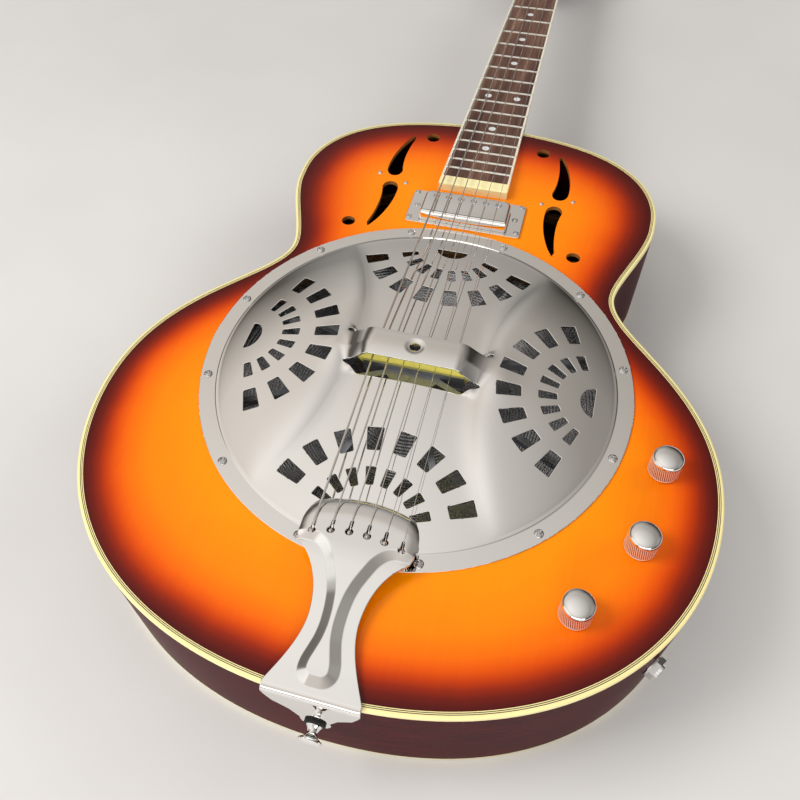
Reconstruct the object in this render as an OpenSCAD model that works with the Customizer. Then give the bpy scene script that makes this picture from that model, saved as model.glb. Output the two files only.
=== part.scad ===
// Electric resonator guitar with a single-cone spider bridge, built as an assembly.
// Row frame: origin on the back's outer face under the resonator's centre, +Y to the
// neck, +X to the treble side, +Z out of the top. Millimetres.

/* [Body] */
// Width of the lower bout
lower_bout_w = 399.6; // [394:0.4:406]
// Width of the waist
waist_w = 242.8; // [242:0.4:250]
// Width of the upper bout
upper_bout_w = 288; // [282:0.4:296]
// Depth of the body over the top and the back
body_depth = 86; // [82:0.5:94]
// Thickness of the top
top_t = 3.5; // [3:0.1:4]
// Thickness of the back
back_t = 3.5; // [3:0.1:4]
// Thickness of the sides
side_t = 2.8; // [2.6:0.1:3]
// Width of the outer binding in the top
binding_w = 2.2; // [2:0.1:2.4]
// Thickness of the kerfed linings
lining_w = 5.2; // [4.6:0.2:5.6]

/* [Resonator] */
// Outer radius of the cover plate
cover_r = 143; // [142:0.5:144]
// Radius of the circle of cover plate screws
cover_screw_r = 138; // [137.5:0.5:138.5]
// Number of cover plate screws
cover_screws = 12; // [6:1:16]
// Thickness of the cover plate
cover_t = 1.2; // [0.8:0.1:1.4]
// Height of the cover plate's crown over the top
crown_h = 15; // [13:0.5:16]
// Height of the palm rest over the top
palm_rest_h = 28; // [27:0.5:32]
// Number of slots in each ring of a fan
fan_slots = 8; // [5:1:9]
// Inner radius of the sound well's wall
well_r = 134; // [133:0.5:134.5]
// Height of the saddle's top over the body's top
saddle_h = 19.5; // [18.5:0.1:20.5]

/* [Neck and strings] */
// Length of the strings from saddle to nut
scale_len = 635; // [628:1:648]
// Width of the fingerboard at the nut
nut_w = 42; // [41:0.5:45]
// Number of frets
fret_count = 19; // [17:1:19]
// Width of the fingerboard's binding
board_binding_w = 1.7; // [1.4:0.1:2]
// Spread of the outer strings at the saddle
saddle_spread = 52; // [48:0.5:54]
// Spread of the outer strings at the nut
nut_spread = 35; // [33:0.5:36]
// Backward tilt of the headstock
head_tilt = 14; // [10:1:17]
// Radius of a tuner's string post
post_r = 3; // [2.8:0.1:3.2]

/* [Controls] */
// Radius of a knob
knob_r = 9.3; // [8.5:0.1:10]
// Height of a knob
knob_h = 17.4; // [16:0.2:19]
// Radius of a control's shaft
shaft_r = 2.98; // [2.9:0.02:3]
// Radius of the bore in the output jack
jack_r = 3.2; // [3.15:0.05:3.3]

/* [Hidden] */
$fn = 48;
join_y = scale_len * pow(2, -14 / 12);
tail_y = -218.5;
seg_steps = [14, 14, 8, 16];
back_binding_w = 1.6;
back_binding_h = 2.2;
purfling_h = 1.5;
inlay_edge = binding_w + 2.8;
top_z = body_depth;
under_top = body_depth - top_t;
brace_top = 16;
well_wall = 7;
pickup_y = 162.5;
pole_y = 169;
board_slope = 0.0375;
board_tilt = atan(board_slope);
board_t = 5;
board_end_y = scale_len * pow(2, -20 / 12);
end_cap_len = 10;
nut_len = 5;
tab_y = tail_y - 0.65;
knob_at = [[163.2, -36.3], [153.9, -90.7], [123.4, -140]];
jack_angle = -34.1;
jack_at = [173.6, -141.4, body_depth - 38];
strap_z = body_depth - 36;
strap_pin_l = 10.6;
head_t = 15;
post_x = 26;
post_y = [50, 88, 126];
gear_r = 5;
worm_y = 7.3;
worm_z = -19;
string_r = [0.68, 0.54, 0.42, 0.3, 0.22, 0.17];

chrome = [0.86, 0.87, 0.88];
steel = [0.7, 0.71, 0.73];
brass = [0.78, 0.62, 0.3];
cream = [0.95, 0.9, 0.74];
sunburst = [0.93, 0.42, 0.05];
burgundy = [0.16, 0.04, 0.05];
maple = [0.85, 0.74, 0.53];
spruce = [0.83, 0.7, 0.48];
rosewood = [0.25, 0.15, 0.11];
black = [0.07, 0.07, 0.08];
casting = [0.55, 0.56, 0.57];

// ---- shared curves ----

// Point and direction on a cubic curve
function curve(p, t) = pow(1 - t, 3) * p[0] + 3 * pow(1 - t, 2) * t * p[1]
  + 3 * (1 - t) * t * t * p[2] + pow(t, 3) * p[3];
function curve_dir(p, t) = pow(1 - t, 2) * (p[1] - p[0]) + 2 * (1 - t) * t * (p[2] - p[1])
  + t * t * (p[3] - p[2]);
function inward(d) = [-d[1], d[0]] / norm(d);

// The treble half of the body's outline as four curves, from the tail to the neck
function body_curves() =
  let (lw = lower_bout_w / 2, ww = waist_w / 2, uw = upper_bout_w / 2)
  [
    [[0, tail_y], [132, tail_y], [lw, -141.9], [lw, -53.8]],
    [[lw, -53.8], [lw, 33.8], [ww, 65.1], [ww, 100.8]],
    [[ww, 100.8], [ww, 120.6], [uw, 156.3], [uw, 184.2]],
    [[uw, 184.2], [uw, 190.1], [uw + 14.6, join_y], [0, join_y]]
  ];

// The treble half, moved inward by d
function half_outline(d) = let (c = body_curves()) [
  for (k = [0:3])
    for (i = [0:seg_steps[k] - 1])
      let (t = i / seg_steps[k])
        curve(c[k], t) + d * inward(curve_dir(c[k], t))
];

// The whole outline, moved inward by d
function outline(d) = let (h = half_outline(d)) concat(
  h,
  [[0, join_y - d]],
  [for (i = [len(h) - 1:-1:1]) [-h[i][0], h[i][1]]]
);

module plate(d, h) {
  linear_extrude(h) polygon(outline(d));
}

// A band round the body between two inward distances
module band(d1, d2, h) {
  linear_extrude(h) difference() {
    polygon(outline(d1));
    polygon(outline(d2));
  }
}

// A box from its low corner to its high corner
module span(a, b) {
  translate(a) cube(b - a);
}

// Draws its children on both sides of the centre line
module both_sides() {
  children();
  mirror([1, 0, 0]) children();
}

// A closed solid through a row of sections, each a ring of the same number of points
module loft(sections) {
  n = len(sections);
  m = len(sections[0]);
  quads = [
    for (i = [0:n - 2])
      for (k = [0:m - 1])
        let (a = i * m + k, b = i * m + (k + 1) % m)
          [a, b, b + m, a + m]
  ];
  last = (n - 1) * m;
  tris = concat(
    [for (q = quads) [q[0], q[1], q[2]]],
    [for (q = quads) [q[0], q[2], q[3]]],
    [for (k = [1:m - 2]) [0, k + 1, k]],
    [for (k = [1:m - 2]) [last, last + k, last + k + 1]]
  );
  polyhedron([for (s = sections) for (p = s) p], tris);
}

// A closed tube swept along a path with a fixed sideways reference
module wire(path, r, sides = 6, up = [0, 0, 1]) {
  n = len(path);
  loft([
    for (i = [0:n - 1])
      let (
        d = path[min(i + 1, n - 1)] - path[max(i - 1, 0)],
        t = d / norm(d),
        s = cross(t, up) / norm(cross(t, up)),
        v = cross(s, t)
      )
        [for (k = [0:sides - 1])
          path[i] + r * (cos(360 * k / sides) * s + sin(360 * k / sides) * v)]
  ]);
}

// ---- body shell ----

module back() {
  color(burgundy) {
    plate(back_binding_w, back_binding_h);
    translate([0, 0, back_binding_h]) plate(side_t, back_t - back_binding_h);
  }
}

module back_binding() {
  color(cream) band(0, back_binding_w, back_binding_h);
}

// The jack's own frame: origin on the side's outer face, +Z outwards
module at_jack() {
  translate(jack_at) rotate([0, 0, jack_angle]) rotate([0, 90, 0]) children();
}

module rim() {
  color(burgundy) difference() {
    translate([0, 0, back_binding_h]) band(0, side_t, under_top - back_binding_h);
    span([-14.05, join_y - 6, 25.95], [14.05, join_y + 1, 80.05]);
    at_jack() translate([0, 0, -8]) cylinder(r = 4.85, h = 16);
    translate([0, tail_y + 8, strap_z]) rotate([90, 0, 0]) cylinder(r = 1.8, h = 16);
  }
}

// One horn of an f-hole on the treble side
module horn() {
  outer = [[62, 257.5], [70, 247], [76, 226], [75, 209]];
  base = [[75, 209], [75, 196.5], [62, 196.5], [62, 207]];
  inner = [[62, 207], [66, 222], [65, 240], [62, 257.5]];
  polygon([for (c = [outer, base, inner]) for (i = [0:7]) curve(c, i / 8)]);
}

module f_hole() {
  horn();
  translate([135, 391]) rotate(180) horn();
  translate([47.5, 257]) circle(r = 5.5);
  translate([87.7, 136.5]) circle(r = 5.2);
}

module pickup_opening() {
  translate([0, pickup_y]) square([72, 31.5], center = true);
  translate([0, 165]) square([84, 9], center = true);
}

module top_openings() {
  circle(r = well_r);
  both_sides() f_hole();
  pickup_opening();
  for (p = knob_at) translate(p) circle(r = 4.8);
}

module top() {
  color(sunburst) difference() {
    union() {
      translate([0, 0, under_top]) plate(binding_w, top_t - purfling_h);
      translate([0, 0, top_z - purfling_h]) plate(inlay_edge, purfling_h);
    }
    translate([0, 0, under_top - 1]) linear_extrude(top_t + 2) top_openings();
    both_sides() for (p = stud_at) translate([p[0], p[1], under_top + 0.5]) cylinder(r = 0.82, h = 5);
    cover_screw_places(1.42, top_z - 12, 13);
    for (p = plate_screw_at) translate([p[0], p[1], under_top - 1]) cylinder(r = 1.02, h = 6);
  }
}

module binding() {
  color(cream) {
    translate([0, 0, under_top]) band(0, binding_w, top_t);
    translate([0, 0, top_z - purfling_h]) {
      band(binding_w + 0.6, binding_w + 1.4, purfling_h);
      band(binding_w + 2, inlay_edge, purfling_h);
    }
  }
}

module purfling() {
  color(black) translate([0, 0, top_z - purfling_h]) {
    band(binding_w, binding_w + 0.6, purfling_h);
    band(binding_w + 1.4, binding_w + 2, purfling_h);
  }
}

module lining_band(z) {
  translate([0, 0, z]) band(side_t, side_t + lining_w, 8.5);
}

module linings() {
  color(spruce) difference() {
    union() {
      lining_band(back_t);
      lining_band(under_top - 8.5);
    }
    span([-35, 225, 0], [35, 300, 100]);
    span([-30, -240, 0], [30, -185, 100]);
  }
}

// Bars under the top and across the back, kept clear of the linings
module braces() {
  color(spruce) intersection() {
    plate(side_t + lining_w + 0.1, body_depth);
    union() {
      for (y = [-75, 75, 205]) span([-210, y - 5, back_t], [210, y + 5, brace_top]);
      span([-105, -169, under_top - 10], [105, -161, under_top]);
      both_sides() span([95, 150, under_top - 10], [102, 240, under_top]);
    }
  }
}

module neck_block() {
  color(maple) difference() {
    intersection() {
      translate([0, 0, back_t]) plate(side_t, under_top - back_t);
      span([-35, 236, back_t], [35, 300, under_top]);
    }
    span([-14.05, join_y - 25.05, 25.95], [14.05, join_y + 1, 80.05]);
  }
}

module tail_block() {
  color(maple) difference() {
    intersection() {
      translate([0, 0, back_t]) plate(side_t, under_top - back_t);
      span([-30, -240, back_t], [30, -194, under_top]);
    }
    translate([0, -190, strap_z]) rotate([90, 0, 0]) cylinder(r = 1.8, h = 40);
  }
}

// ---- resonator ----

// The plywood ring that carries the cone, standing on two back braces
module soundwell() {
  color(maple) difference() {
    rotate_extrude() polygon([
      [well_r, brace_top], [well_r + well_wall, brace_top], [well_r + well_wall, under_top],
      [well_r, under_top], [well_r, top_z - 16], [128, top_z - 16], [128, top_z - 26],
      [well_r, top_z - 26]
    ]);
    for (k = [0:9])
      rotate([0, 0, 18 + 36 * k]) translate([well_r - 12, 0, 38]) rotate([0, 90, 0]) cylinder(r = 13, h = 30);
    cover_screw_places(1.42, top_z - 12, 13);
  }
}

// Height of the dish-shaped cone at radius r: flat lip, a valley, and a raised centre
function cone_z(r) = r < 62
  ? top_z - 10 - 29 * pow(sin(90 * r / 62), 1.15)
  : top_z - 39 + 22 * pow((r - 62) / 64, 1.25);

module resonator_cone() {
  t = 0.6;
  radii = [for (i = [0:20]) 126 * i / 20];
  color([0.8, 0.81, 0.83]) difference() {
    rotate_extrude() polygon(concat(
      [for (r = radii) [r, cone_z(r) + t]],
      [[128, top_z - 16 + t], [133.5, top_z - 16 + t], [133.5, top_z - 16], [127.5, top_z - 16]],
      [for (i = [20:-1:0]) [radii[i], cone_z(radii[i])]]
    ));
    translate([0, 0, top_z - 20]) cylinder(r = 1.65, h = 20);
  }
}

module spider_leg() {
  rotate([90, 0, 0]) translate([0, 0, -2.2]) linear_extrude(4.4) polygon([
    [8, top_z + 5.5], [40, top_z + 3.5], [90, top_z - 4], [122, top_z - 9.5], [131, top_z - 11],
    [131, top_z - 15.4], [125, top_z - 15.4], [90, top_z - 9], [40, top_z - 2.5], [8, top_z - 2]
  ]);
}

// Cast aluminium spider: a slotted block on a hub with eight legs
module spider_bridge() {
  color(casting) difference() {
    union() {
      translate([0, 0, top_z - 2]) cylinder(r = 19, h = 7);
      span([-34, -4.5, top_z - 1], [34, 4.5, top_z + 9.5]);
      for (k = [0:7]) rotate([0, 0, 22.5 + 45 * k]) spider_leg();
    }
    span([-40, -3.02, top_z + 3.5], [40, 3.02, top_z + 20]);
    translate([0, 0, top_z - 10]) cylinder(r = 1.65, h = 30);
  }
}

// Two halves that meet over the tension screw, with a bore for the driver
module bridge_saddle() {
  color(maple) difference() {
    both_sides() rotate([90, 0, 0]) translate([0, 0, -3]) linear_extrude(6) polygon([
      [0.1, top_z + 7], [4, top_z + 7], [4, top_z + 3.5], [34, top_z + 3.5], [38, top_z + 8.5],
      [38, top_z + saddle_h - 1], [36.5, top_z + saddle_h], [0.1, top_z + saddle_h]
    ]);
    translate([0, 0, top_z]) cylinder(r = 2.2, h = 30);
  }
}

module tension_screw() {
  color(steel) {
    translate([0, 0, top_z - 16]) cylinder(r = 1.6, h = 20);
    difference() {
      translate([0, 0, top_z + 3.5]) cylinder(r = 2.9, h = 2.6);
      translate([0, 0, top_z + 5]) cube([7, 0.8, 2.4], center = true);
    }
    translate([0, 0, top_z - 14.5]) cylinder(r = 3.2, h = 2.6, $fn = 6);
  }
}

// Height of the cover plate's outer face at radius r
function dome_z(r) = top_z + crown_h - 12.3 * pow(r / 138, 2);

// One fan of slots, drawn with its centre on the +Y edge of the plate
module fan_cutters() {
  wide = 9.2;
  translate([0, 120.4, top_z]) for (k = [0:fan_slots - 1]) {
    a = -90 - 65 + 130 * k / (fan_slots - 1);
    rotate([0, 0, a]) for (ring = [[27, 39], [50, 66]])
      linear_extrude(25) polygon([
        for (p = [[0, -1], [1, -1], [1, 1], [0, 1]])
          ring[p[0]] * [cos(wide / 2 * p[1]), sin(wide / 2 * p[1])]
      ]);
  }
  translate([0, 0, top_z]) linear_extrude(25)
    polygon(concat([[11.5, 117.5]], [for (a = [0:30:180]) [11.5 * cos(a), 117.5 - 9 * sin(a)]]));
}

module cover_screw_places(r, z, h) {
  for (k = [0:cover_screws - 1])
    rotate([0, 0, 360 / cover_screws * (k + 0.5)])
      translate([0, cover_screw_r, z]) cylinder(r = r, h = h);
}

// The bridge over the saddle, from one side of the opening to the other
module palm_rest() {
  foot = dome_z(54);
  rise = top_z + palm_rest_h;
  half = [
    [29, rise], [33, rise - 0.9], [38, rise - 4.2], [47, foot + 2], [54, foot],
    [54, foot - 1.1], [47, foot + 0.7], [37.3, rise - 5.3], [32.5, rise - 2.1], [28.8, rise - cover_t]
  ];
  rotate([90, 0, 0]) translate([0, 0, -10.3]) linear_extrude(22.3)
    polygon(concat(half, [for (i = [len(half) - 1:-1:0]) [-half[i][0], half[i][1]]]));
}

module coverplate() {
  radii = [for (i = [0:18]) 133 * i / 18];
  color(chrome) difference() {
    union() {
      difference() {
        rotate_extrude() polygon(concat(
          [for (r = radii) [r, dome_z(r)]],
          [[134.6, top_z + cover_t], [cover_r, top_z + cover_t], [cover_r, top_z], [133.6, top_z]],
          [for (i = [18:-1:0]) [radii[i] * 0.993, dome_z(radii[i]) - cover_t]]
        ));
        translate([0, 0, top_z]) linear_extrude(30) polygon([
          [-44.5, -12], [-34, -19.4], [34, -19.4], [44.5, -12], [48.5, 13.6], [-48.5, 13.6]
        ]);
        for (k = [0:3]) rotate([0, 0, 90 * k]) fan_cutters();
        cover_screw_places(1.8, top_z - 1, 4);
      }
      palm_rest();
    }
    translate([0, 0, top_z + 20]) cylinder(r = 2.4, h = 20);
    translate([0, 0, top_z + palm_rest_h - 0.8]) cylinder(r1 = 2.4, r2 = 3.4, h = 1);
  }
}

// A domed screw head with a cross-shaped recess, on its shank
module small_screw(head_r, shank_r, len) {
  difference() {
    union() {
      rotate_extrude() polygon(concat(
        [[0, 0], [head_r, 0]],
        [for (a = [20:20:80]) [head_r * cos(a), head_r * 0.5 * sin(a)]],
        [[0, head_r * 0.5]]
      ));
      translate([0, 0, -len]) cylinder(r = shank_r, h = len + 0.1);
    }
    for (a = [0, 90])
      rotate([0, 0, a]) translate([0, 0, head_r * 0.5]) cube([head_r, head_r * 0.22, head_r * 0.6], center = true);
  }
}

module coverplate_screws() {
  color(steel) for (k = [0:cover_screws - 1])
    rotate([0, 0, 360 / cover_screws * (k + 0.5)])
      translate([0, cover_screw_r, top_z + cover_t]) small_screw(2.9, 1.4, 11);
}

// ---- tailpiece, strap button and strings ----

// Half width of the tailpiece at each height along the body
function tail_edge() = concat(
  [for (i = [0:6]) curve([[0, -106], [18, -106], [30, -108], [32.5, -113.5]], i / 6)],
  [for (i = [0:4]) curve([[33.6, -118], [35, -128], [34.5, -140], [29, -144]], i / 4)],
  [for (i = [1:8]) curve([[29, -144], [18, -150], [13.8, -164], [13.7, -180]], i / 8)],
  [for (i = [1:6]) curve([[13.7, -180], [14.5, -194], [21, -208], [26.5, tab_y - 1]], i / 6)]
);

// Side view of the sheet, from the rolled front edge to the bend over the tail
function sheet_line(o) = concat(
  [[-106 - o, top_z + 8.3]],
  [for (a = [0:22.5:90]) [-112 + (6 - o) * cos(a), top_z + 8.5 + (5.7 - o) * sin(a)]],
  [[-139.5, top_z + 14.2 - o], [-145, top_z + 11.6 - o], [-158, top_z + 9.6 - o]],
  [[-182, top_z + 6 - o], [-205, top_z + 3.3 - o], [-216, top_z + 2.6 - o]],
  [for (a = [90:-22.5:0]) [tab_y + 2.5 - (4.1 - o) * cos(a), top_z - 1.6 + (4.2 - o) * sin(a)]]
);

// The raised tongue pressed into the sheet, seen in plan on one side and from the side
tongue_plan = [
  [22, -139], [16, -145.5], [11.5, -153.5], [7.5, -164], [5, -174], [4.4, -182], [6, -191],
  [8.6, -200], [9.4, -205], [8.4, -209], [5.5, -212.3]
];
tongue_side = [
  [-139.4, 14.2], [-158, 12.2], [-182, 8.6], [-205, 5.9], [-213, 5.2], [-213, 2.2], [-205, 2.9],
  [-182, 5.6], [-158, 9.2], [-145, 11.2], [-139.4, 13]
];

module tongue() {
  n = len(tongue_plan);
  intersection() {
    linear_extrude(140) polygon(concat(
      tongue_plan, [for (i = [n - 1:-1:0]) [-tongue_plan[i][0], tongue_plan[i][1]]]
    ));
    translate([-60, 0, top_z]) rotate([90, 0, 90]) linear_extrude(120) polygon(tongue_side);
  }
}

module tailpiece() {
  t = 1.6;
  e = tail_edge();
  lug_r = 9;
  color(chrome) difference() {
    union() {
      intersection() {
        linear_extrude(140) polygon(concat(e, [for (i = [len(e) - 1:-1:0]) [-e[i][0], e[i][1]]]));
        translate([-60, 0, 0]) rotate([90, 0, 90]) linear_extrude(120) polygon(concat(
          sheet_line(0), reverse(sheet_line(t))
        ));
      }
      tongue();
      translate([0, tab_y, 0]) rotate([90, 0, 0]) linear_extrude(t) polygon(concat(
        [[26.4, top_z - 1.5], [24, top_z - 8], [lug_r + 3, strap_z + 12]],
        [for (a = [0:-15:-180]) [0, strap_z] + lug_r * [cos(a), sin(a)]],
        [[-lug_r - 3, strap_z + 12], [-24, top_z - 8], [-26.4, top_z - 1.5]]
      ));
    }
    for (i = [0:5]) translate([ball_x(i), ball_y(i), top_z + 5]) {
      cylinder(r = 2.3, h = 20);
      translate([-0.95, 0, 0]) cube([1.9, 8, 20]);
    }
    translate([0, tail_y + 8, strap_z]) rotate([90, 0, 0]) cylinder(r = 1.8, h = 16);
  }
}

function reverse(v) = [for (i = [len(v) - 1:-1:0]) v[i]];
function ball_x(i) = -saddle_spread / 2 + saddle_spread / 5 * i;
function ball_y(i) = -130 - 4.5 * pow(ball_x(i) / 26, 2);
function saddle_x(i) = ball_x(i);
function nut_x(i) = -nut_spread / 2 + nut_spread / 5 * i;
function string_z(y) = top_z + saddle_h - 0.0425 * y;

module string_ball_ends() {
  color(brass) for (i = [0:5])
    translate([ball_x(i), ball_y(i), top_z + 11.2]) rotate([0, 90, 0]) difference() {
      cylinder(r = 1.9, h = 3, center = true);
      cylinder(r = 0.75, h = 4, center = true);
    }
}

// Washer under the strap button
module strap_washer() {
  color(black) translate([0, tab_y - 1.6, strap_z]) rotate([90, 0, 0]) difference() {
    cylinder(r = 6.2, h = 1.5);
    translate([0, 0, -1]) cylinder(r = 2.2, h = 4);
  }
}

module strap_button() {
  color(chrome) translate([0, tab_y - 3.12, strap_z]) rotate([90, 0, 0]) {
    rotate_extrude() polygon([
      [0, 0], [5.6, 0], [5.2, 1.2], [3.7, 2.6], [3.5, 4.6], [4.5, 6.6], [6.8, 7.9], [7, 9],
      [6.4, 10.1], [4.6, strap_pin_l], [0, strap_pin_l]
    ]);
    translate([0, 0, -28]) cylinder(r = 1.75, h = 28.2);
  }
}

// Maps a point of the headstock's own frame to the row frame
head_y0 = scale_len + nut_len;
head_z0 = board_z(head_y0) - board_t + 0.5;
function head_pt(p) = [
  p[0],
  head_y0 + p[1] * cos(head_tilt) + p[2] * sin(head_tilt),
  head_z0 - p[1] * sin(head_tilt) + p[2] * cos(head_tilt)
];

// Coils of a string round its post, as seen on the bass side of the headstock
function wrap_path(nx, py, r) =
  let (
    turns = 2.2,
    big = (post_r + r + 0.05) / cos(180 * turns / 27),
    dx = nx + post_x,
    dist = norm([dx, py]),
    lean = atan2(dx, py) - asin(big / dist)
  )
  [
    for (i = [0:27])
      let (a = lean + 360 * turns * i / 27)
        [-post_x + big * cos(a), py + big * sin(a), 9 - (2 * r + 0.12) * turns * i / 27]
  ];

// A string of the bass side, number 0 to 2 from the outside
module bass_string(i, r) {
  coil = wrap_path(nut_x(i), post_y[i], r);
  wire(concat(
    [
      [ball_x(i), ball_y(i) + 2.2, top_z + 11.6],
      [ball_x(i), ball_y(i) + 4.5, top_z + 13],
      [ball_x(i), ball_y(i) + 8.2, top_z + 14.28 + r],
      [saddle_x(i), -3.2, top_z + saddle_h + r + 0.03],
      [saddle_x(i), 3.2, top_z + saddle_h + r + 0.03],
      [nut_x(i), scale_len, string_z(scale_len) + r + 0.03],
      [nut_x(i), scale_len + nut_len - 1, string_z(scale_len) + r - 0.03]
    ],
    [for (p = coil) head_pt(p)]
  ), r);
}

module strings() {
  color(steel) {
    for (i = [0:2]) bass_string(i, string_r[i]);
    mirror([1, 0, 0]) for (i = [0:2]) bass_string(i, string_r[5 - i]);
  }
}

// ---- pickup ----

plate_screw_at = [for (x = [-42, 42]) for (y = [150.5, 181]) [x, y]];
height_screw_at = [[-38.7, 165], [38.7, 165]];
stud_at = [[79.5, 199.5], [55.5, 191.5]];

module rounded_plate(x, y0, y1, r, h) {
  linear_extrude(h) union() {
    for (a = [-1, 1]) for (b = [y0 + r, y1 - r]) translate([a * (x - r), b]) circle(r = r);
    translate([-x, y0 + r]) square([2 * x, y1 - y0 - 2 * r]);
    translate([-x + r, y0]) square([2 * x - 2 * r, y1 - y0]);
  }
}

module pickup_plate() {
  color(chrome) difference() {
    translate([0, 0, top_z]) rounded_plate(45, 145.5, 183.6, 2, 2);
    span([-34.3, 148.7, top_z - 1], [34.3, 176.3, top_z + 3]);
    for (p = concat(plate_screw_at, height_screw_at))
      translate([p[0], p[1], top_z - 1]) cylinder(r = 1.3, h = 4);
  }
}

// Side view of the cover, moved inward by o
function cover_profile(o) = [
  [149 + o, top_z - 4], [149 + o, top_z + 8.3], [151 + o * 0.6, top_z + 10.6 - o], [170 - o * 0.4, top_z + 10.6 - o],
  [176 - o, top_z + 7.2 - o * 0.6], [176 - o, top_z - 4]
];

module pickup_cover() {
  color(chrome) difference() {
    translate([-34, 0, 0]) rotate([90, 0, 90]) linear_extrude(68) polygon(cover_profile(0));
    translate([-33.2, 0, -0.01]) rotate([90, 0, 90]) linear_extrude(66.4) polygon(cover_profile(0.8));
    for (i = [0:5]) translate([pole_x(i), pole_y, top_z]) cylinder(r = 2.6, h = 15);
  }
}

function pole_x(i) = 9.8 * (i - 2.5);

module pickup_coils() {
  color(black) difference() {
    union() {
      span([-32, 151, top_z - 3.9], [32, 161.8, top_z + 6.5]);
      span([-32, 162.2, top_z - 3.9], [32, 173.5, top_z + 6.5]);
    }
    for (i = [0:5]) translate([pole_x(i), pole_y, top_z - 10]) cylinder(r = 1.7, h = 25);
  }
}

module pickup_magnet() {
  color(steel) span([-31, 157, top_z - 7.5], [31, 163.5, top_z - 4]);
}

module pickup_baseplate() {
  color(steel) difference() {
    union() {
      span([-34, 149, top_z - 9.5], [34, 176, top_z - 7.7]);
      span([-41.3, 161.5, top_z - 9.5], [41.3, 168.5, top_z - 7.7]);
    }
    for (i = [0:5]) translate([pole_x(i), pole_y, top_z - 12]) cylinder(r = 1.7, h = 8);
    for (p = height_screw_at) translate([p[0], p[1], top_z - 12]) cylinder(r = 1.25, h = 8);
  }
}

module pickup_pole_screws() {
  color(steel) for (i = [0:5]) translate([pole_x(i), pole_y, 0]) difference() {
    union() {
      translate([0, 0, top_z + 8.5]) cylinder(r = 2.4, h = 2.5);
      translate([0, 0, top_z - 12]) cylinder(r = 1.6, h = 21);
    }
    translate([0, 0, top_z + 11]) cube([6, 0.7, 1.6], center = true);
  }
}

module pickup_screws() {
  color(steel) {
    for (p = plate_screw_at) translate([p[0], p[1], top_z + 2]) small_screw(2.1, 1, 5);
    for (p = height_screw_at) translate([p[0], p[1], top_z + 2]) small_screw(2.3, 1.2, 14);
  }
}

// ---- fingerboard ----

// Height of the fingerboard's face, and its half width, at distance y from the saddle
function board_z(y) = top_z + 14.7 - board_slope * y;
function board_w(y) = nut_w / 2 + (scale_len - y) * 0.01543;
function fret_y(n) = scale_len * pow(2, -n / 12);

// The board's side view as a prism across the neck
module board_side() {
  translate([-60, 0, 0]) rotate([90, 0, 90]) linear_extrude(120) polygon([
    [board_end_y, top_z], [join_y + 0.02, top_z], [join_y + 0.02, board_z(join_y) - board_t],
    [scale_len, board_z(scale_len) - board_t], [scale_len, board_z(scale_len)],
    [board_end_y, board_z(board_end_y)]
  ]);
}

// The board's plan, narrowed by d on each side
module board_plan(d, y0, y1) {
  polygon([
    [board_w(y0) - d, y0], [board_w(y1) - d, y1], [-board_w(y1) + d, y1], [-board_w(y0) + d, y0]
  ]);
}

// Draws its children in a frame on the board's face at distance y
module on_board(y) {
  translate([0, y, board_z(y)]) rotate([-board_tilt, 0, 0]) children();
}

// Where the dots are: one each, and a pair at the octave
dot_at = concat(
  [for (n = [3, 5, 7, 9, 15, 17]) [0, (fret_y(n) + fret_y(n - 1)) / 2]],
  [for (s = [-1, 1]) [13 * s, (fret_y(12) + fret_y(11)) / 2]]
);

module fingerboard() {
  color(rosewood) difference() {
    intersection() {
      board_side();
      linear_extrude(120) board_plan(board_binding_w, board_end_y, scale_len);
    }
    for (n = [1:fret_count]) on_board(fret_y(n)) cube([80, 0.6, 3.4], center = true);
    for (d = dot_at) on_board(d[1]) translate([d[0], 0, -1.5]) cylinder(r = 3.02, h = 4);
  }
}

module fingerboard_binding() {
  color(cream) intersection() {
    board_side();
    linear_extrude(120) difference() {
      board_plan(0, board_end_y, scale_len);
      board_plan(board_binding_w - 0.01, board_end_y - 1, scale_len + 1);
    }
  }
}

module fingerboard_end_cap() {
  y0 = board_end_y - end_cap_len;
  w = board_w(board_end_y);
  color(cream) translate([-w, 0, 0]) rotate([90, 0, 90]) linear_extrude(2 * w) polygon([
    [y0, top_z], [board_end_y, top_z], [board_end_y, board_z(board_end_y)],
    [y0 + 1, board_z(y0 + 1)], [y0, board_z(y0) - 1]
  ]);
}

module frets() {
  color(steel) for (n = [1:fret_count]) {
    w = board_w(fret_y(n));
    on_board(fret_y(n)) {
      translate([-w + 0.3, 0, 0]) rotate([90, 0, 90]) linear_extrude(2 * w - 0.6)
        polygon([for (a = [0:20:180]) [1.1 * cos(a), 0.02 + sin(a)]]);
      span([-w + board_binding_w + 0.1, -0.25, -1.5], [w - board_binding_w - 0.1, 0.25, 0.2]);
    }
  }
}

module position_dots() {
  color([0.93, 0.93, 0.9]) for (d = dot_at)
    on_board(d[1]) translate([d[0], 0, -1.48]) cylinder(r = 3, h = 1.48);
}

// Nut with a shallow slot for each string
module nut() {
  floor_z = board_z(scale_len) - board_t;
  color(cream) difference() {
    translate([-nut_w / 2, 0, 0]) rotate([90, 0, 90]) linear_extrude(nut_w) polygon([
      [scale_len + 0.02, floor_z], [scale_len + nut_len, floor_z],
      [scale_len + nut_len, string_z(scale_len) - 0.7], [scale_len + nut_len - 1.6, string_z(scale_len) + 0.5],
      [scale_len + 0.02, string_z(scale_len) + 0.5]
    ]);
    for (i = [0:5]) translate([nut_x(i), scale_len, string_z(scale_len) + 2.4])
      rotate([-14, 0, 0]) translate([0, 3, -1.4]) cube([1.7, 12, 2.4], center = true);
    for (i = [0:5]) span(
      [nut_x(i) - 0.85, scale_len - 1, string_z(scale_len)],
      [nut_x(i) + 0.85, scale_len + nut_len + 1, string_z(scale_len) + 3]
    );
  }
}

// ---- neck and headstock ----

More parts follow.
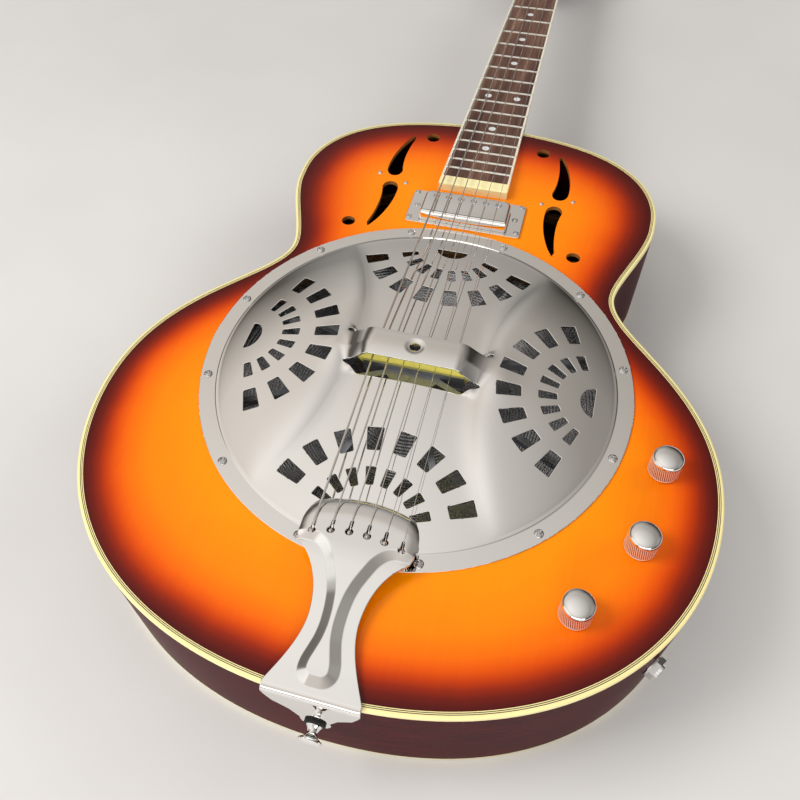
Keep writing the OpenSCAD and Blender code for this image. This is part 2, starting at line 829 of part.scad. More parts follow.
// A section of the neck: flat on top, rounded below
function neck_section(y) = [
  for (a = [180:-15:0])
    [board_w(y) * cos(a), y, board_z(y) - board_t - neck_depth(y) * sin(a)]
];

// Depth of the neck under the fingerboard: the heel, then the shaft
function neck_depth(y) = 18 + 3 * (scale_len - y) / (scale_len - join_y)
  + 54 * pow(max(0, 1 - (y - join_y) / 70), 2.4);

// Outline of the headstock, with a shallow wave in its end
module head_plan() {
  side = concat(
    [[21, 0]],
    [for (i = [0:5]) curve([[21.5, 6], [24, 20], [36, 18], [37, 34]], i / 5)],
    [for (i = [0:5]) curve([[34.5, 140], [34, 152], [33, 160], [28, 164]], i / 5)],
    [for (i = [1:5]) curve([[28, 164], [18, 168], [10, 163], [0, 161]], i / 5)]
  );
  polygon(concat(side, [for (i = [len(side) - 2:-1:0]) [-side[i][0], side[i][1]]]));
}

// The headstock's own frame: origin behind the nut, +Z out of its face
module at_head() {
  translate([0, head_y0, head_z0]) rotate([-head_tilt, 0, 0]) children();
}

module neck() {
  stations = [0, 10, 22, 36, 52, 70];
  ys = concat([for (s = stations) join_y + 0.05 + s], [scale_len]);
  blend = [for (a = [180:-15:0]) head_pt([21 * cos(a), 9, -0.5 - (head_t - 1) * sin(a)])];
  color([0.3, 0.06, 0.05]) difference() {
    union() {
      loft(concat([for (y = ys) neck_section(y)], [blend]));
      at_head() translate([0, 0, -head_t]) linear_extrude(head_t) head_plan();
      span([-14, join_y - 25, 26], [14, join_y + 0.2, 80]);
    }
    on_board(join_y) span([-3.05, 3.9, -14.05], [3.05, 349.2, -board_t + 3]);
    translate([-30, scale_len, board_z(scale_len) - board_t]) cube([60, nut_len, 20]);
    at_tuners() translate([0, 0, -head_t - 2]) cylinder(r = 4.05, h = head_t + 4);
    at_tuners() translate([0, -9.5, -head_t - 1]) cylinder(r = 1, h = 9);
  }
}

module truss_rod() {
  color(steel) on_board(join_y) span([-3, 4, -14], [3, 349, -board_t - 0.6]);
}

// ---- tuners ----

// Frame of tuner i, 0 to 2 on the bass side and 3 to 5 on the treble side, +X outwards
module at_tuner(i) {
  at_head() translate([(i < 3 ? -1 : 1) * post_x, post_y[i % 3], 0])
    mirror([i < 3 ? 1 : 0, 0, 0]) children();
}

module at_tuners() {
  for (i = [0:5]) at_tuner(i) children();
}

module string_post(i) {
  color(chrome) at_tuner(i) difference() {
    union() {
      translate([0, 0, -17.6]) cylinder(r = post_r, h = 30.6);
      translate([0, 0, -20.5]) cylinder(r = gear_r, h = 3);
    }
    translate([-5, 0, 8]) rotate([0, 90, 0]) cylinder(r = 0.9, h = 10);
  }
}

// Button on its shaft, with the worm inside the housing
module tuner_button(i) {
  color(chrome) at_tuner(i) translate([0, worm_y, worm_z]) {
    rotate([0, 90, 0]) {
      translate([0, 0, -5]) cylinder(r = 2.2, h = 9.8);
      cylinder(r = 1.6, h = 18);
    }
    translate([15, 0, 0]) rotate([0, 90, 0]) cylinder(r1 = 2.6, r2 = 3.6, h = 4);
    intersection() {
      translate([26, 0, 0]) sphere(r = 9.2);
      span([17.6, -9, -3.4], [35, 9, 3.4]);
    }
  }
}

module tuner_housings() {
  color(chrome) at_tuners() difference() {
    span([-7.5, -12.5, -head_t - 8.6], [7.5, 11.5, -head_t - 0.02]);
    span([-5.6, -5.4, -head_t - 7], [5.6, 10, -head_t - 1.2]);
    translate([0, 0, -head_t - 3]) cylinder(r = post_r + 0.06, h = 5);
    translate([0, worm_y, worm_z]) rotate([0, 90, 0]) cylinder(r = 1.66, h = 12);
    translate([0, -9.5, -head_t - 10]) cylinder(r = 1.1, h = 12);
  }
}

module tuner_bushings() {
  color(chrome) at_tuners() difference() {
    union() {
      translate([0, 0, -12]) cylinder(r = 4, h = 13);
      translate([0, 0, 0.02]) cylinder(r = 5.6, h = 2.2, $fn = 6);
      translate([0, 0, 0.02]) cylinder(r = 5.8, h = 0.8);
    }
    translate([0, 0, -14]) cylinder(r = post_r + 0.06, h = 20);
  }
}

module tuner_screws() {
  color(steel) at_tuners() translate([0, -9.5, -head_t - 8.62]) mirror([0, 0, 1]) small_screw(2, 0.95, 13);
}

// ---- controls ----

module f_hole_studs() {
  color(chrome) both_sides() for (p = stud_at) translate([p[0], p[1], top_z]) {
    rotate_extrude() polygon([[0, 0.02], [1.9, 0.02], [1.7, 0.6], [1, 1], [0, 1.15]]);
    translate([0, 0, -2.9]) cylinder(r = 0.8, h = 3);
  }
}

module control_pots() {
  color(steel) for (p = knob_at) translate([p[0], p[1], 0]) difference() {
    union() {
      translate([0, 0, top_z - 19]) cylinder(r = 12, h = 9);
      translate([0, 0, top_z - 11]) cylinder(r = 4.7, h = 15.4);
    }
    translate([0, 0, top_z - 18]) cylinder(r = 11, h = 7);
    translate([0, 0, top_z - 12]) cylinder(r = shaft_r + 0.07, h = 20);
  }
}

module control_nuts() {
  color(steel) {
    for (p = knob_at) translate([p[0], p[1], top_z]) difference() {
      union() {
        cylinder(r = 7, h = 0.6);
        cylinder(r = 6.9, h = 2.9, $fn = 6);
      }
      translate([0, 0, -1]) cylinder(r = 4.75, h = 5);
    }
    at_jack() difference() {
      union() {
        translate([0, 0, 0.4]) cylinder(r = 7.6, h = 0.8);
        translate([0, 0, 1]) cylinder(r = 7.3, h = 3.2, $fn = 6);
      }
      translate([0, 0, -1]) cylinder(r = 4.75, h = 8);
    }
  }
}

// A knob with its control shaft and the wiper inside the control
module knob(i) {
  p = knob_at[i];
  color(chrome) translate([p[0], p[1], top_z]) {
    difference() {
      rotate_extrude() polygon(concat(
        [[0, 0.7], [knob_r, 0.7], [knob_r, knob_h - 3.2]],
        [for (a = [10:20:90]) [knob_r - 1.6 + 1.6 * cos(a), knob_h - 3.2 + 1.5 * sin(a)]],
        [[knob_r - 4, knob_h - 0.8], [2, knob_h], [0, knob_h]]
      ));
      translate([0, 0, -1]) cylinder(r = 7.5, h = 6.2);
    }
    translate([0, 0, -14]) cylinder(r = shaft_r, h = 22);
    translate([0, 0, -16]) cylinder(r = 7, h = 2.5);
  }
}

module output_jack() {
  color(chrome) at_jack() difference() {
    union() {
      translate([0, 0, -22]) cylinder(r = 4.7, h = 28);
      translate([0, 0, -6]) cylinder(r = 7, h = 2.4);
      span([4.2, -2.5, -24], [6.6, 2.5, -5]);
    }
    translate([0, 0, -16]) cylinder(r = jack_r, h = 30);
  }
}

// Leads from the pickup and along the controls to the jack
module wiring() {
  low = top_z - 22;
  a = knob_at[0];
  b = knob_at[1];
  c = knob_at[2];
  color(black) {
    wire([
      [35.5, 160, top_z - 10.6], [50, 150, top_z - 14], [85, 124, low - 2], [115, 92, low - 4],
      [136, 50, low - 4], [155, 10, low - 2], [a[0] - 4, a[1] + 6, top_z - 20.2]
    ], 1);
    wire([[a[0], a[1] - 4, top_z - 20.2], [170, -60, low - 2], [b[0] + 4, b[1] + 5, top_z - 20.2]], 1);
    wire([[b[0], b[1] - 4, top_z - 20.2], [146, -115, low - 2], [c[0] + 6, c[1] + 5, top_z - 20.2]], 1);
    wire([[c[0] + 3, c[1] + 1, top_z - 20.2], [135, -134, low - 6], [148, -125, jack_at[2] + 9]], 1);
  }
}

back();
rim();
top();
binding();
purfling();
back_binding();
linings();
braces();
neck_block();
tail_block();
soundwell();
resonator_cone();
spider_bridge();
bridge_saddle();
tension_screw();
coverplate();
coverplate_screws();
tailpiece();
strap_button();
strap_washer();
strings();
string_ball_ends();
pickup_plate();
pickup_cover();
pickup_coils();
pickup_magnet();
pickup_baseplate();
pickup_pole_screws();
pickup_screws();
fingerboard();
fingerboard_binding();
fingerboard_end_cap();
frets();
position_dots();
nut();
neck();
truss_rod();
tuner_housings();
tuner_bushings();
tuner_screws();
f_hole_studs();
control_pots();
control_nuts();
output_jack();
wiring();
knob(0);  // volume_knob
knob(1);  // tone_knob
knob(2);  // blend_knob
string_post(0);  // string_post_1
string_post(1);  // string_post_2
string_post(2);  // string_post_3
string_post(3);  // string_post_4
string_post(4);  // string_post_5
string_post(5);  // string_post_6
tuner_button(0);  // tuner_button_1
tuner_button(1);  // tuner_button_2
tuner_button(2);  // tuner_button_3
tuner_button(3);  // tuner_button_4
tuner_button(4);  // tuner_button_5
tuner_button(5);  // tuner_button_6
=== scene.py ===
"""Looks of the resonator guitar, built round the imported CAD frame. Lengths in mm until a mesh is made."""
from math import asin, atan2, ceil, cos, hypot, pi, radians, sin, sqrt, tan

import bpy
import bmesh
import numpy as np
from mathutils import Matrix, Vector
from mathutils.geometry import delaunay_2d_cdt


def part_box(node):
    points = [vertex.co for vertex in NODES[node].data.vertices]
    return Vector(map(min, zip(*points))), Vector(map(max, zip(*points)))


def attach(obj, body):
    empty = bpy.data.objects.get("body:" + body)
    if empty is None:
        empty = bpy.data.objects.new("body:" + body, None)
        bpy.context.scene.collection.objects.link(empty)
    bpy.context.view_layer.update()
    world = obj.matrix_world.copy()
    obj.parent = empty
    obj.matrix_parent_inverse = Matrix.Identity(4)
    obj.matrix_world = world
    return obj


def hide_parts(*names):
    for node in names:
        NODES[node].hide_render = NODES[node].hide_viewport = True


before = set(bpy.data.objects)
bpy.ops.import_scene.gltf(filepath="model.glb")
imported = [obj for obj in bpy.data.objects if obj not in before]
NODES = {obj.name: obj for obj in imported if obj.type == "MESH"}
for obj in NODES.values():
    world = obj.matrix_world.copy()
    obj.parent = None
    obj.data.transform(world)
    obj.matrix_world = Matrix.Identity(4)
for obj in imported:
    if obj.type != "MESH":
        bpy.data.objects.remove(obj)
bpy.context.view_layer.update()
scene = bpy.context.scene
MM = 0.001


def box_mm(node):
    lo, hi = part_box(node)
    return np.array(lo) / MM, np.array(hi) / MM


TOP = box_mm("top")[1][2]
UNDER_TOP = box_mm("rim")[1][2]
JOIN = box_mm("rim")[1][1]
TAIL = box_mm("rim")[0][1]
LOWER = box_mm("rim")[1][0]
WAIST, UPPER = LOWER * 0.6076, LOWER * 0.7207  # half widths, as shares of the lower bout's
COVER_R = box_mm("coverplate")[1][0]
PALM_Z = box_mm("coverplate")[1][2]
SADDLE_Z = box_mm("bridge_saddle")[1][2]
NUT_Y = box_mm("fingerboard")[1][1]


# ---------------------------------------------------------------- materials

class Nodes:
    """A small builder for shader node trees."""

    def __init__(self, tree, coord):
        self.t = tree
        self.coord = tree.nodes.new("ShaderNodeTexCoord").outputs[coord]

    def node(self, kind, ins=None, **props):
        n = self.t.nodes.new(kind)
        for k, v in props.items():
            setattr(n, k, v)
        for k, v in (ins or {}).items():
            self.put(n.inputs[k], v)
        return n

    def put(self, socket, v):
        if isinstance(v, bpy.types.NodeSocket):
            self.t.links.new(v, socket)
        else:
            socket.default_value = v

    def axis(self, i):
        return self.node("ShaderNodeSeparateXYZ", {0: self.coord}).outputs[i]

    def noise(self, scale, detail=4, stretch=(1, 1, 1), rough=0.55, distort=0.0):
        m = self.node("ShaderNodeMapping", {"Vector": self.coord, "Scale": stretch})
        return self.node("ShaderNodeTexNoise", {"Vector": m.outputs[0], "Scale": scale, "Detail": detail,
                                                "Roughness": rough, "Distortion": distort}).outputs["Fac"]

    def ramp(self, fac, stops):
        n = self.node("ShaderNodeValToRGB", {"Fac": fac})
        elements = n.color_ramp.elements
        while len(elements) < len(stops):
            elements.new(0.5)
        for e, (p, c) in zip(elements, stops):
            e.position, e.color = p, (*c, 1)
        return n.outputs["Color"]

    def math(self, op, a, b=0.0):
        return self.node("ShaderNodeMath", {0: a, 1: b}, operation=op).outputs[0]

    def span(self, fac, lo, hi, start=0.0, end=1.0, curve="LINEAR"):
        ins = {"Value": fac, "From Min": start, "From Max": end, "To Min": lo, "To Max": hi}
        return self.node("ShaderNodeMapRange", ins, interpolation_type=curve).outputs[0]

    def multiply(self, a, b):
        n = self.node("ShaderNodeMix", data_type="RGBA", blend_type="MULTIPLY")
        for socket, v in (("Factor_Float", 1.0), ("A_Color", a), ("B_Color", b)):
            self.put([i for i in n.inputs if i.identifier == socket][0], v)
        return [o for o in n.outputs if o.type == "RGBA"][0]


class Shader(Nodes):
    """A node material round one Principled shader."""

    def __init__(self, name):
        self.m = bpy.data.materials.new(name)
        self.m.use_nodes = True
        super().__init__(self.m.node_tree, "Object")
        self.b = self.t.nodes["Principled BSDF"]

    def set(self, **kw):
        for k, v in kw.items():
            self.put(self.b.inputs[k.replace("_", " ")], v)

    def bump(self, height, strength, distance):
        n = self.node("ShaderNodeBump", {"Height": height, "Strength": strength, "Distance": distance})
        self.put(self.b.inputs["Normal"], n.outputs[0])
        return self

    def attribute(self, name):
        return self.node("ShaderNodeAttribute", attribute_name=name).outputs["Fac"]


def rgb(r, g, b):
    """An sRGB colour, 0 to 255, as linear light."""
    return tuple(((c / 255 + 0.055) / 1.055) ** 2.4 if c > 10 else c / 255 / 12.92 for c in (r, g, b))


def wood(name, dark, light, scale, stretch, rough):
    s = Shader(name)
    fine = s.noise(scale * 6, 6, stretch)
    broad = s.noise(8, 3, stretch, distort=0.6)
    f = s.math("ADD", s.math("MULTIPLY", fine, 0.55), s.math("MULTIPLY", broad, 0.45))
    s.set(Base_Color=s.ramp(f, [(0.3, dark), (0.7, light)]),
          Roughness=s.span(fine, rough - 0.08, rough + 0.12))
    return s.bump(fine, 0.06, 0.0006).m


def metal(name, colour, rough, grime, scale=35, bump=0.0):
    s = Shader(name)
    smear = s.noise(scale, 5)
    speck = s.noise(900, 2)
    tint = s.ramp(s.noise(6, 2), [(0.3, tuple(c * 0.96 for c in colour)), (0.7, colour)])
    s.set(Base_Color=tint, Metallic=1.0,
          Roughness=s.math("ADD", s.span(smear, rough, rough + grime), s.span(speck, 0, 0.012)))
    if bump:
        s.bump(smear, bump, 0.0002)
    return s.m


def plastic(name, colour, rough, coat=0.0, vary=0.08, scale=40):
    s = Shader(name)
    n = s.noise(scale, 4, (1, 0.3, 1))
    tone = s.ramp(n, [(0.25, tuple(c * (1 - vary) for c in colour)), (0.75, colour)])
    s.set(Base_Color=tone, Roughness=s.span(s.noise(300, 3), rough - 0.05, rough + 0.08),
          Coat_Weight=coat, Coat_Roughness=0.05)
    return s.bump(s.noise(1500, 2), 0.02, 0.0002).m


def sunburst():
    """Clear lacquer over amber wood that darkens to wine red near the body's edge."""
    s = Shader("sunburst_lacquer")
    wander = s.math("MULTIPLY", s.math("SUBTRACT", s.noise(9, 3), 0.5), 9.0)
    edge = s.math("ADD", s.attribute("edge_mm"), wander)
    stops = [(0.05, rgb(76, 16, 14)), (0.1, rgb(104, 24, 12)), (0.145, rgb(142, 36, 8)),
             (0.19, rgb(186, 56, 0)), (0.24, rgb(220, 80, 0)), (0.31, rgb(240, 106, 0)),
             (0.45, rgb(252, 130, 0)), (0.75, rgb(255, 144, 0))]
    burst = s.ramp(s.math("DIVIDE", edge, 100.0), stops)
    grain = s.noise(330, 6, (1, 0.035, 1), 0.7)
    figure = s.noise(26, 3, (0.35, 1, 1), distort=1.0)
    tone = s.math("ADD", s.span(grain, 0.9, 1.06), s.span(figure, -0.05, 0.05))
    grey = s.node("ShaderNodeCombineColor", {0: tone, 1: tone, 2: tone}).outputs[0]
    s.set(Base_Color=s.multiply(burst, grey), Roughness=0.4, Coat_Weight=0.55, Coat_IOR=1.4,
          Coat_Roughness=s.span(s.noise(60, 4), 0.01, 0.03), Specular_IOR_Level=0.0)
    return s.bump(s.noise(14, 2), 0.02, 0.0004).m


def lacquer(name, dark, light):
    s = Shader(name)
    grain = s.noise(240, 6, (0.12, 0.12, 1), 0.65)
    s.set(Base_Color=s.ramp(grain, [(0.25, dark), (0.8, light)]), Roughness=0.35, Coat_Weight=0.22,
          Coat_IOR=1.35, Coat_Roughness=s.span(s.noise(40, 4), 0.02, 0.06), Specular_IOR_Level=0.0)
    return s.bump(s.noise(18, 2), 0.03, 0.0005).m


TURNING, WINDING = 5200.0, 9000.0  # radians of wave per metre


def spun():
    """Spun aluminium, with fine turning marks round the axis."""
    s = Shader("spun_aluminium")
    r = s.math("SQRT", s.math("ADD", s.math("POWER", s.axis(0), 2.0), s.math("POWER", s.axis(1), 2.0)))
    marks = s.math("SINE", s.math("MULTIPLY", r, TURNING))
    s.set(Base_Color=s.ramp(s.noise(12, 3), [(0.3, (0.5, 0.51, 0.53)), (0.7, (0.72, 0.73, 0.75))]),
          Metallic=1.0, Roughness=s.span(s.noise(80, 3), 0.2, 0.34))
    return s.bump(marks, 0.06, 0.0002).m


def wound():
    """A wound string: the winding's turns run along Y."""
    s = Shader("wound_string")
    turns = s.math("SINE", s.math("MULTIPLY", s.axis(1), WINDING))
    # the colour darkens into the grooves between the turns: painted shade
    s.set(Base_Color=s.ramp(turns, [(0.0, (0.74, 0.72, 0.69)), (0.6, (0.88, 0.86, 0.82))]), Metallic=1.0,
          Roughness=0.1)
    return s.bump(turns, 0.1, 0.0002).m


def plain_string():
    s = Shader("plain_string")
    n = s.noise(700, 3, (1, 0.1, 1))
    s.set(Base_Color=s.ramp(n, [(0.3, (0.72, 0.71, 0.69)), (0.7, (0.88, 0.87, 0.85))]), Metallic=1.0,
          Roughness=s.span(n, 0.06, 0.14))
    return s.m


def knurl_metal():
    """Plated knurling: polished crests, and painted shade that makes the grooves dull and dark towards the
    bottom.
    """
    s = Shader("knurled_chrome")
    n = s.noise(1200, 3)
    s.set(Base_Color=s.ramp(s.attribute("groove_mm"), [(0.18, (0.92, 0.9, 0.88)), (0.5, (0.16, 0.13, 0.13))]),
          Metallic=0.75, Roughness=s.span(n, 0.16, 0.26))
    return s.m


def rosewood():
    s = Shader("rosewood")
    grain = s.noise(420, 8, (1, 0.03, 1), 0.75)
    bands = s.noise(60, 4, (1, 0.05, 1), distort=0.8)
    both = s.math("ADD", s.math("MULTIPLY", grain, 0.5), s.math("MULTIPLY", bands, 0.5))
    tone = s.ramp(both, [(0.34, rgb(36, 22, 18)), (0.46, rgb(80, 52, 42)), (0.56, rgb(106, 74, 60)),
                         (0.7, rgb(158, 118, 96))])
    s.set(Base_Color=tone, Roughness=s.span(grain, 0.42, 0.62))
    return s.bump(grain, 0.25, 0.0004).m


def pearl():
    s = Shader("pearl_dot")
    v = s.node("ShaderNodeTexVoronoi", {"Vector": s.coord, "Scale": 520.0}).outputs["Distance"]
    s.set(Base_Color=s.ramp(v, [(0.1, (0.9, 0.9, 0.88)), (0.6, (0.72, 0.76, 0.78))]), Roughness=0.2,
          Coat_Weight=0.6)
    return s.m


M = {
    "sunburst": sunburst(),
    "burgundy": lacquer("burgundy_lacquer", rgb(44, 6, 10), rgb(78, 14, 20)),
    "neck": lacquer("neck_lacquer", rgb(38, 7, 6), rgb(84, 20, 13)),
    "cream": plastic("cream_binding", rgb(246, 232, 164), 0.3, 0.4, 0.08, 60),
    "white": plastic("board_binding", rgb(240, 235, 214), 0.32, 0.3, 0.06, 60),
    "ivory": plastic("ivory_cap", rgb(255, 244, 186), 0.32, 0.3, 0.05, 60),
    "black": plastic("black_plastic", (0.012, 0.012, 0.013), 0.4),
    "line": plastic("dark_purfling", rgb(40, 30, 22), 0.35, 0.6),
    "ply": wood("ply_edge", rgb(104, 60, 26), rgb(168, 112, 54), 80, (1, 1, 1), 0.5),
    # the maple's yellow is painted lighter than the wood itself: painted light on the saddle, which sits in
    # shade under the palm rest
    "maple": wood("maple", rgb(255, 232, 90), rgb(255, 250, 140), 80, (0.1, 1, 1), 0.42),
    "plywood": wood("plywood", rgb(150, 106, 62), rgb(196, 150, 98), 60, (1, 1, 0.2), 0.6),
    "spruce": wood("spruce", rgb(176, 134, 84), rgb(218, 180, 128), 70, (0.06, 1, 1), 0.6),
    "rosewood": rosewood(),
    "chrome": metal("chrome_plate", (0.95, 0.94, 0.92), 0.0, 0.015),
    "sheet": metal("polished_sheet", (0.93, 0.915, 0.885), 0.0, 0.03, 22),
    "steel": metal("nickel_steel", (0.72, 0.72, 0.72), 0.14, 0.1),
    "fret": metal("fret_wire", (0.98, 0.96, 0.88), 0.2, 0.15, 300),
    # the cast aluminium's grey is kept darker than the bare metal: partly its own tone, partly painted shade
    # for the inside of the resonator well
    "casting": metal("cast_aluminium", (0.5, 0.52, 0.56), 0.42, 0.2, 260, bump=0.4),
    "spun": spun(),
    "plain": plain_string(),
    "knurl": knurl_metal(),
    "wound": wound(),
    "pearl": pearl(),
    "rubber": plastic("black_rubber", (0.01, 0.01, 0.01), 0.7),
}

# ---------------------------------------------------------------- mesh tools

replaced = set()


def volume(verts, faces):
    v = np.asarray(verts, float)
    tris = np.array([(f[0], f[k], f[k + 1]) for f in faces for k in range(1, len(f) - 1)])
    return np.einsum("ij,ij->", v[tris[:, 0]], np.cross(v[tris[:, 1]], v[tris[:, 2]]))


def point_values(ob, label, values):
    ob.data.attributes.new(label, "FLOAT", "POINT").data.foreach_set("value", np.asarray(values, np.float32))


def smooth_shaded(mesh):
    mesh.polygons.foreach_set("use_smooth", [True] * len(mesh.polygons))


def mesh_object(name, verts, faces, mats, replaces=None, body="guitar", face_mat=None, angle=35):
    """A mesh from points in mm, which rides on a body. Faces meeting above the angle keep a sharp edge.
    The first piece that names a CAD node replaces it, and faces take the first material unless face_mat says
    otherwise."""
    mats = [mats] if isinstance(mats, str) else mats
    if volume(verts, faces) < 0:
        faces = [tuple(f)[::-1] for f in faces]
    me = bpy.data.meshes.new(name)
    me.from_pydata([tuple(v) for v in np.asarray(verts, float) * MM], [], [tuple(f) for f in faces])
    for m in mats:
        me.materials.append(M[m])
    if face_mat is not None:
        me.polygons.foreach_set("material_index", np.asarray(face_mat, np.int32))
    smooth_shaded(me)
    me.update()
    me.set_sharp_from_angle(angle=radians(angle))
    ob = bpy.data.objects.new(name, me)
    scene.collection.objects.link(ob)
    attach(ob, body)
    if replaces and replaces not in replaced:
        replaced.add(replaces)
        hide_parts(replaces)
    return ob


def unit(v):
    return v / np.maximum(np.linalg.norm(v, axis=-1, keepdims=True), 1e-12)


def ahead(points):
    """Each point's next one along a closed line."""
    return np.roll(points, -1, axis=0)


def left_of(d):
    """Plan directions turned a quarter anticlockwise."""
    return np.stack([-d[:, 1], d[:, 0]], 1)


def moved(verts, place):
    return verts @ place[:3, :3].T + place[:3, 3]


def ring_faces(rings, n):
    """Quads between rings of n points, and a face over each end."""
    faces = [(i * n + k, i * n + (k + 1) % n, (i + 1) * n + (k + 1) % n, (i + 1) * n + k)
             for i in range(rings - 1) for k in range(n)]
    return faces + [tuple(range(n))[::-1], tuple((rings - 1) * n + k for k in range(n))]


def cubic(p, t):
    p = np.asarray(p, float)
    t = np.asarray(t, float)[:, None]
    u = 1 - t
    return u ** 3 * p[0] + 3 * u * u * t * p[1] + 3 * u * t * t * p[2] + t ** 3 * p[3]


def cubic_dir(p, t):
    p = np.asarray(p, float)
    t = np.asarray(t, float)[:, None]
    u = 1 - t
    return u * u * (p[1] - p[0]) + 2 * u * t * (p[2] - p[1]) + t * t * (p[3] - p[2])


def outline(d=0.0):
    """The body's outline, moved inward by d, anticlockwise from the tail."""
    curves = [[[0, TAIL], [132, TAIL], [LOWER, -141.9], [LOWER, -53.8]],
              [[LOWER, -53.8], [LOWER, 33.8], [WAIST, 65.1], [WAIST, 100.8]],
              [[WAIST, 100.8], [WAIST, 120.6], [UPPER, 156.3], [UPPER, 184.2]],
              [[UPPER, 184.2], [UPPER, 190.1], [UPPER + 14.6, JOIN], [0, JOIN]]]
    half = []
    for c, n in zip(curves, (56, 56, 32, 64)):
        t = np.arange(n) / n
        half.append(cubic(c, t) + d * left_of(unit(cubic_dir(c, t))))
    half = np.vstack(half)
    return np.vstack([half, [[0, JOIN - d]], half[:0:-1] * [-1, 1]])


def band(name, profile, mat, **kw):
    """A closed section of (inward distance, height) points swept round the body."""
    rings = [outline(d) for d, _ in profile]
    n, k = len(rings[0]), len(profile)
    verts = np.array([[*ring[i], z] for i in range(n) for ring, (_, z) in zip(rings, profile)])
    faces = [(i * k + j, ((i + 1) % n) * k + j, ((i + 1) % n) * k + (j + 1) % k, i * k + (j + 1) % k)
             for i in range(n) for j in range(k)]
    return mesh_object(name, verts, faces, mat, **kw)


def frame_at(origin, axis):
    """A matrix with its Z along axis, in mm."""
    m = Vector(axis).normalized().to_track_quat("Z", "Y").to_matrix().to_4x4()
    m.translation = Vector(origin)
    return np.array(m)


def lathe(name, profile, mat, place=np.eye(4), steps=64, wave=None, **kw):
    """A solid of revolution from (radius, height) points; the ends sit on the axis."""
    verts, rows = [], []
    for r, z in profile:
        if r < 1e-6:
            rows.append([len(verts)])
            verts.append([0, 0, z])
        else:
            rows.append(list(range(len(verts), len(verts) + steps)))
            for k in range(steps):
                rr = r + (wave(r, z, k) if wave else 0)
                a = 2 * pi * k / steps
                verts.append([rr * cos(a), rr * sin(a), z])
    faces = []
    for a, b in zip(rows, rows[1:]):
        for k in range(steps):
            q = [a[k % len(a)], a[(k + 1) % len(a)], b[(k + 1) % len(b)], b[k % len(b)]]
            q = list(dict.fromkeys(q))
            if len(q) > 2:
                faces.append(q)
    if len(rows[0]) > 1 and len(rows[-1]) > 1:
        a, b = rows[-1], rows[0]
        faces += [(a[k], a[(k + 1) % steps], b[(k + 1) % steps], b[k]) for k in range(steps)]
    return mesh_object(name, moved(np.array(verts), place), faces, mat, **kw)


def tube(name, path, r, mat, **kw):
    """A round tube along a path, with its sections carried along without twist."""
    p = np.asarray(path, float)
    t = unit(np.gradient(p, axis=0))
    ref = np.array([1.0, 0, 0]) if abs(t[0][0]) < 0.9 else np.array([0, 0, 1.0])
    s = unit(np.cross(t[0], ref))
    verts, sides = [], 10
    for c, d in zip(p, t):
        s = unit(s - d * (s @ d))
        v = np.cross(d, s)
        verts += [c + r * (cos(a) * s + sin(a) * v) for a in np.arange(sides) * 2 * pi / sides]
    return mesh_object(name, verts, ring_faces(len(p), sides), mat, **kw)


def slab(name, loop, z0, z1, mat, bevel, segments=3, place=np.eye(4), bottom=False, **kw):
    """A flat plate with rounded top edges, from an anticlockwise outline."""
    bm = bmesh.new()
    low = [bm.verts.new((x, y, z0)) for x, y in loop]
    face = bm.faces.new(low)
    up = bmesh.ops.extrude_face_region(bm, geom=[face])["geom"]
    bmesh.ops.translate(bm, verts=[g for g in up if isinstance(g, bmesh.types.BMVert)], vec=(0, 0, z1 - z0))
    bm.normal_update()
    bmesh.ops.recalc_face_normals(bm, faces=bm.faces)
    edges = [e for e in bm.edges if all(abs(v.co.z - z1) < 1e-4 for v in e.verts)
             or (bottom and all(abs(v.co.z - z0) < 1e-4 for v in e.verts))]
    bmesh.ops.bevel(bm, geom=edges, offset=bevel, segments=segments, profile=0.5, affect="EDGES")
    bmesh.ops.triangulate(bm, faces=[f for f in bm.faces if len(f.verts) > 4])
    bm.verts.index_update()
    verts = np.array([v.co for v in bm.verts])
    faces = [[v.index for v in f.verts] for f in bm.faces]
    bm.free()
    return mesh_object(name, moved(verts, place), faces, mat, **kw)


def resample(loop, step):
    out = []
    for a, b in zip(loop, ahead(loop)):
        n = max(1, ceil(np.linalg.norm(b - a) / step))
        out += [a + (b - a) * k / n for k in range(n)]
    return np.array(out)


def inside(p, loop):
    hit = np.zeros(len(p), bool)
    x, y = p[:, 0], p[:, 1]
    for a, b in zip(loop, ahead(loop)):
        if a[1] != b[1]:
            cross = (a[1] > y) != (b[1] > y)
            hit ^= cross & (x < (b[0] - a[0]) * (y - a[1]) / (b[1] - a[1]) + a[0])
    return hit


def distance(p, line):
    """Distance from each point to a closed line of points."""
    best = np.full(len(p), 1e9)
    for a, b in zip(line, ahead(line)):
        d = b - a
        t = np.clip((p - a) @ d / max(d @ d, 1e-12), 0, 1)
        q = p - a - t[:, None] * d
        best = np.minimum(best, q[:, 0] ** 2 + q[:, 1] ** 2)
    return np.sqrt(best)


def rounded(points, r, n=4):
    """A polygon with its corners rounded."""
    p = np.asarray(points, float)
    out = []
    for a, b, c in zip(np.roll(p, 1, axis=0), p, ahead(p)):
        ra = min(r, np.linalg.norm(a - b) * 0.45)
        rc = min(r, np.linalg.norm(c - b) * 0.45)
        s, e = b + unit(a - b) * ra, b + unit(c - b) * rc
        for t in np.arange(n + 1) / n:
            out.append((1 - t) ** 2 * s + 2 * t * (1 - t) * b + t * t * e)
    return np.array(out)


def circle(x, y, r, n=32):
    a = np.arange(n) * 2 * pi / n
    return np.stack([x + r * np.cos(a), y + r * np.sin(a)], 1)


def area(loop):
    q = ahead(loop)
    return 0.5 * (loop[:, 0] * q[:, 1] - q[:, 0] * loop[:, 1]).sum()


def ring_edges(lines, at):
    """The edges of closed lines whose points are numbered from at."""
    edges = []
    for line in lines:
        n = len(line)
        edges += [(at + k, at + (k + 1) % n) for k in range(n)]
        at += n
    return edges


EDGE_TILT = tan(0.8)  # how far a rounded edge's shading leans outward


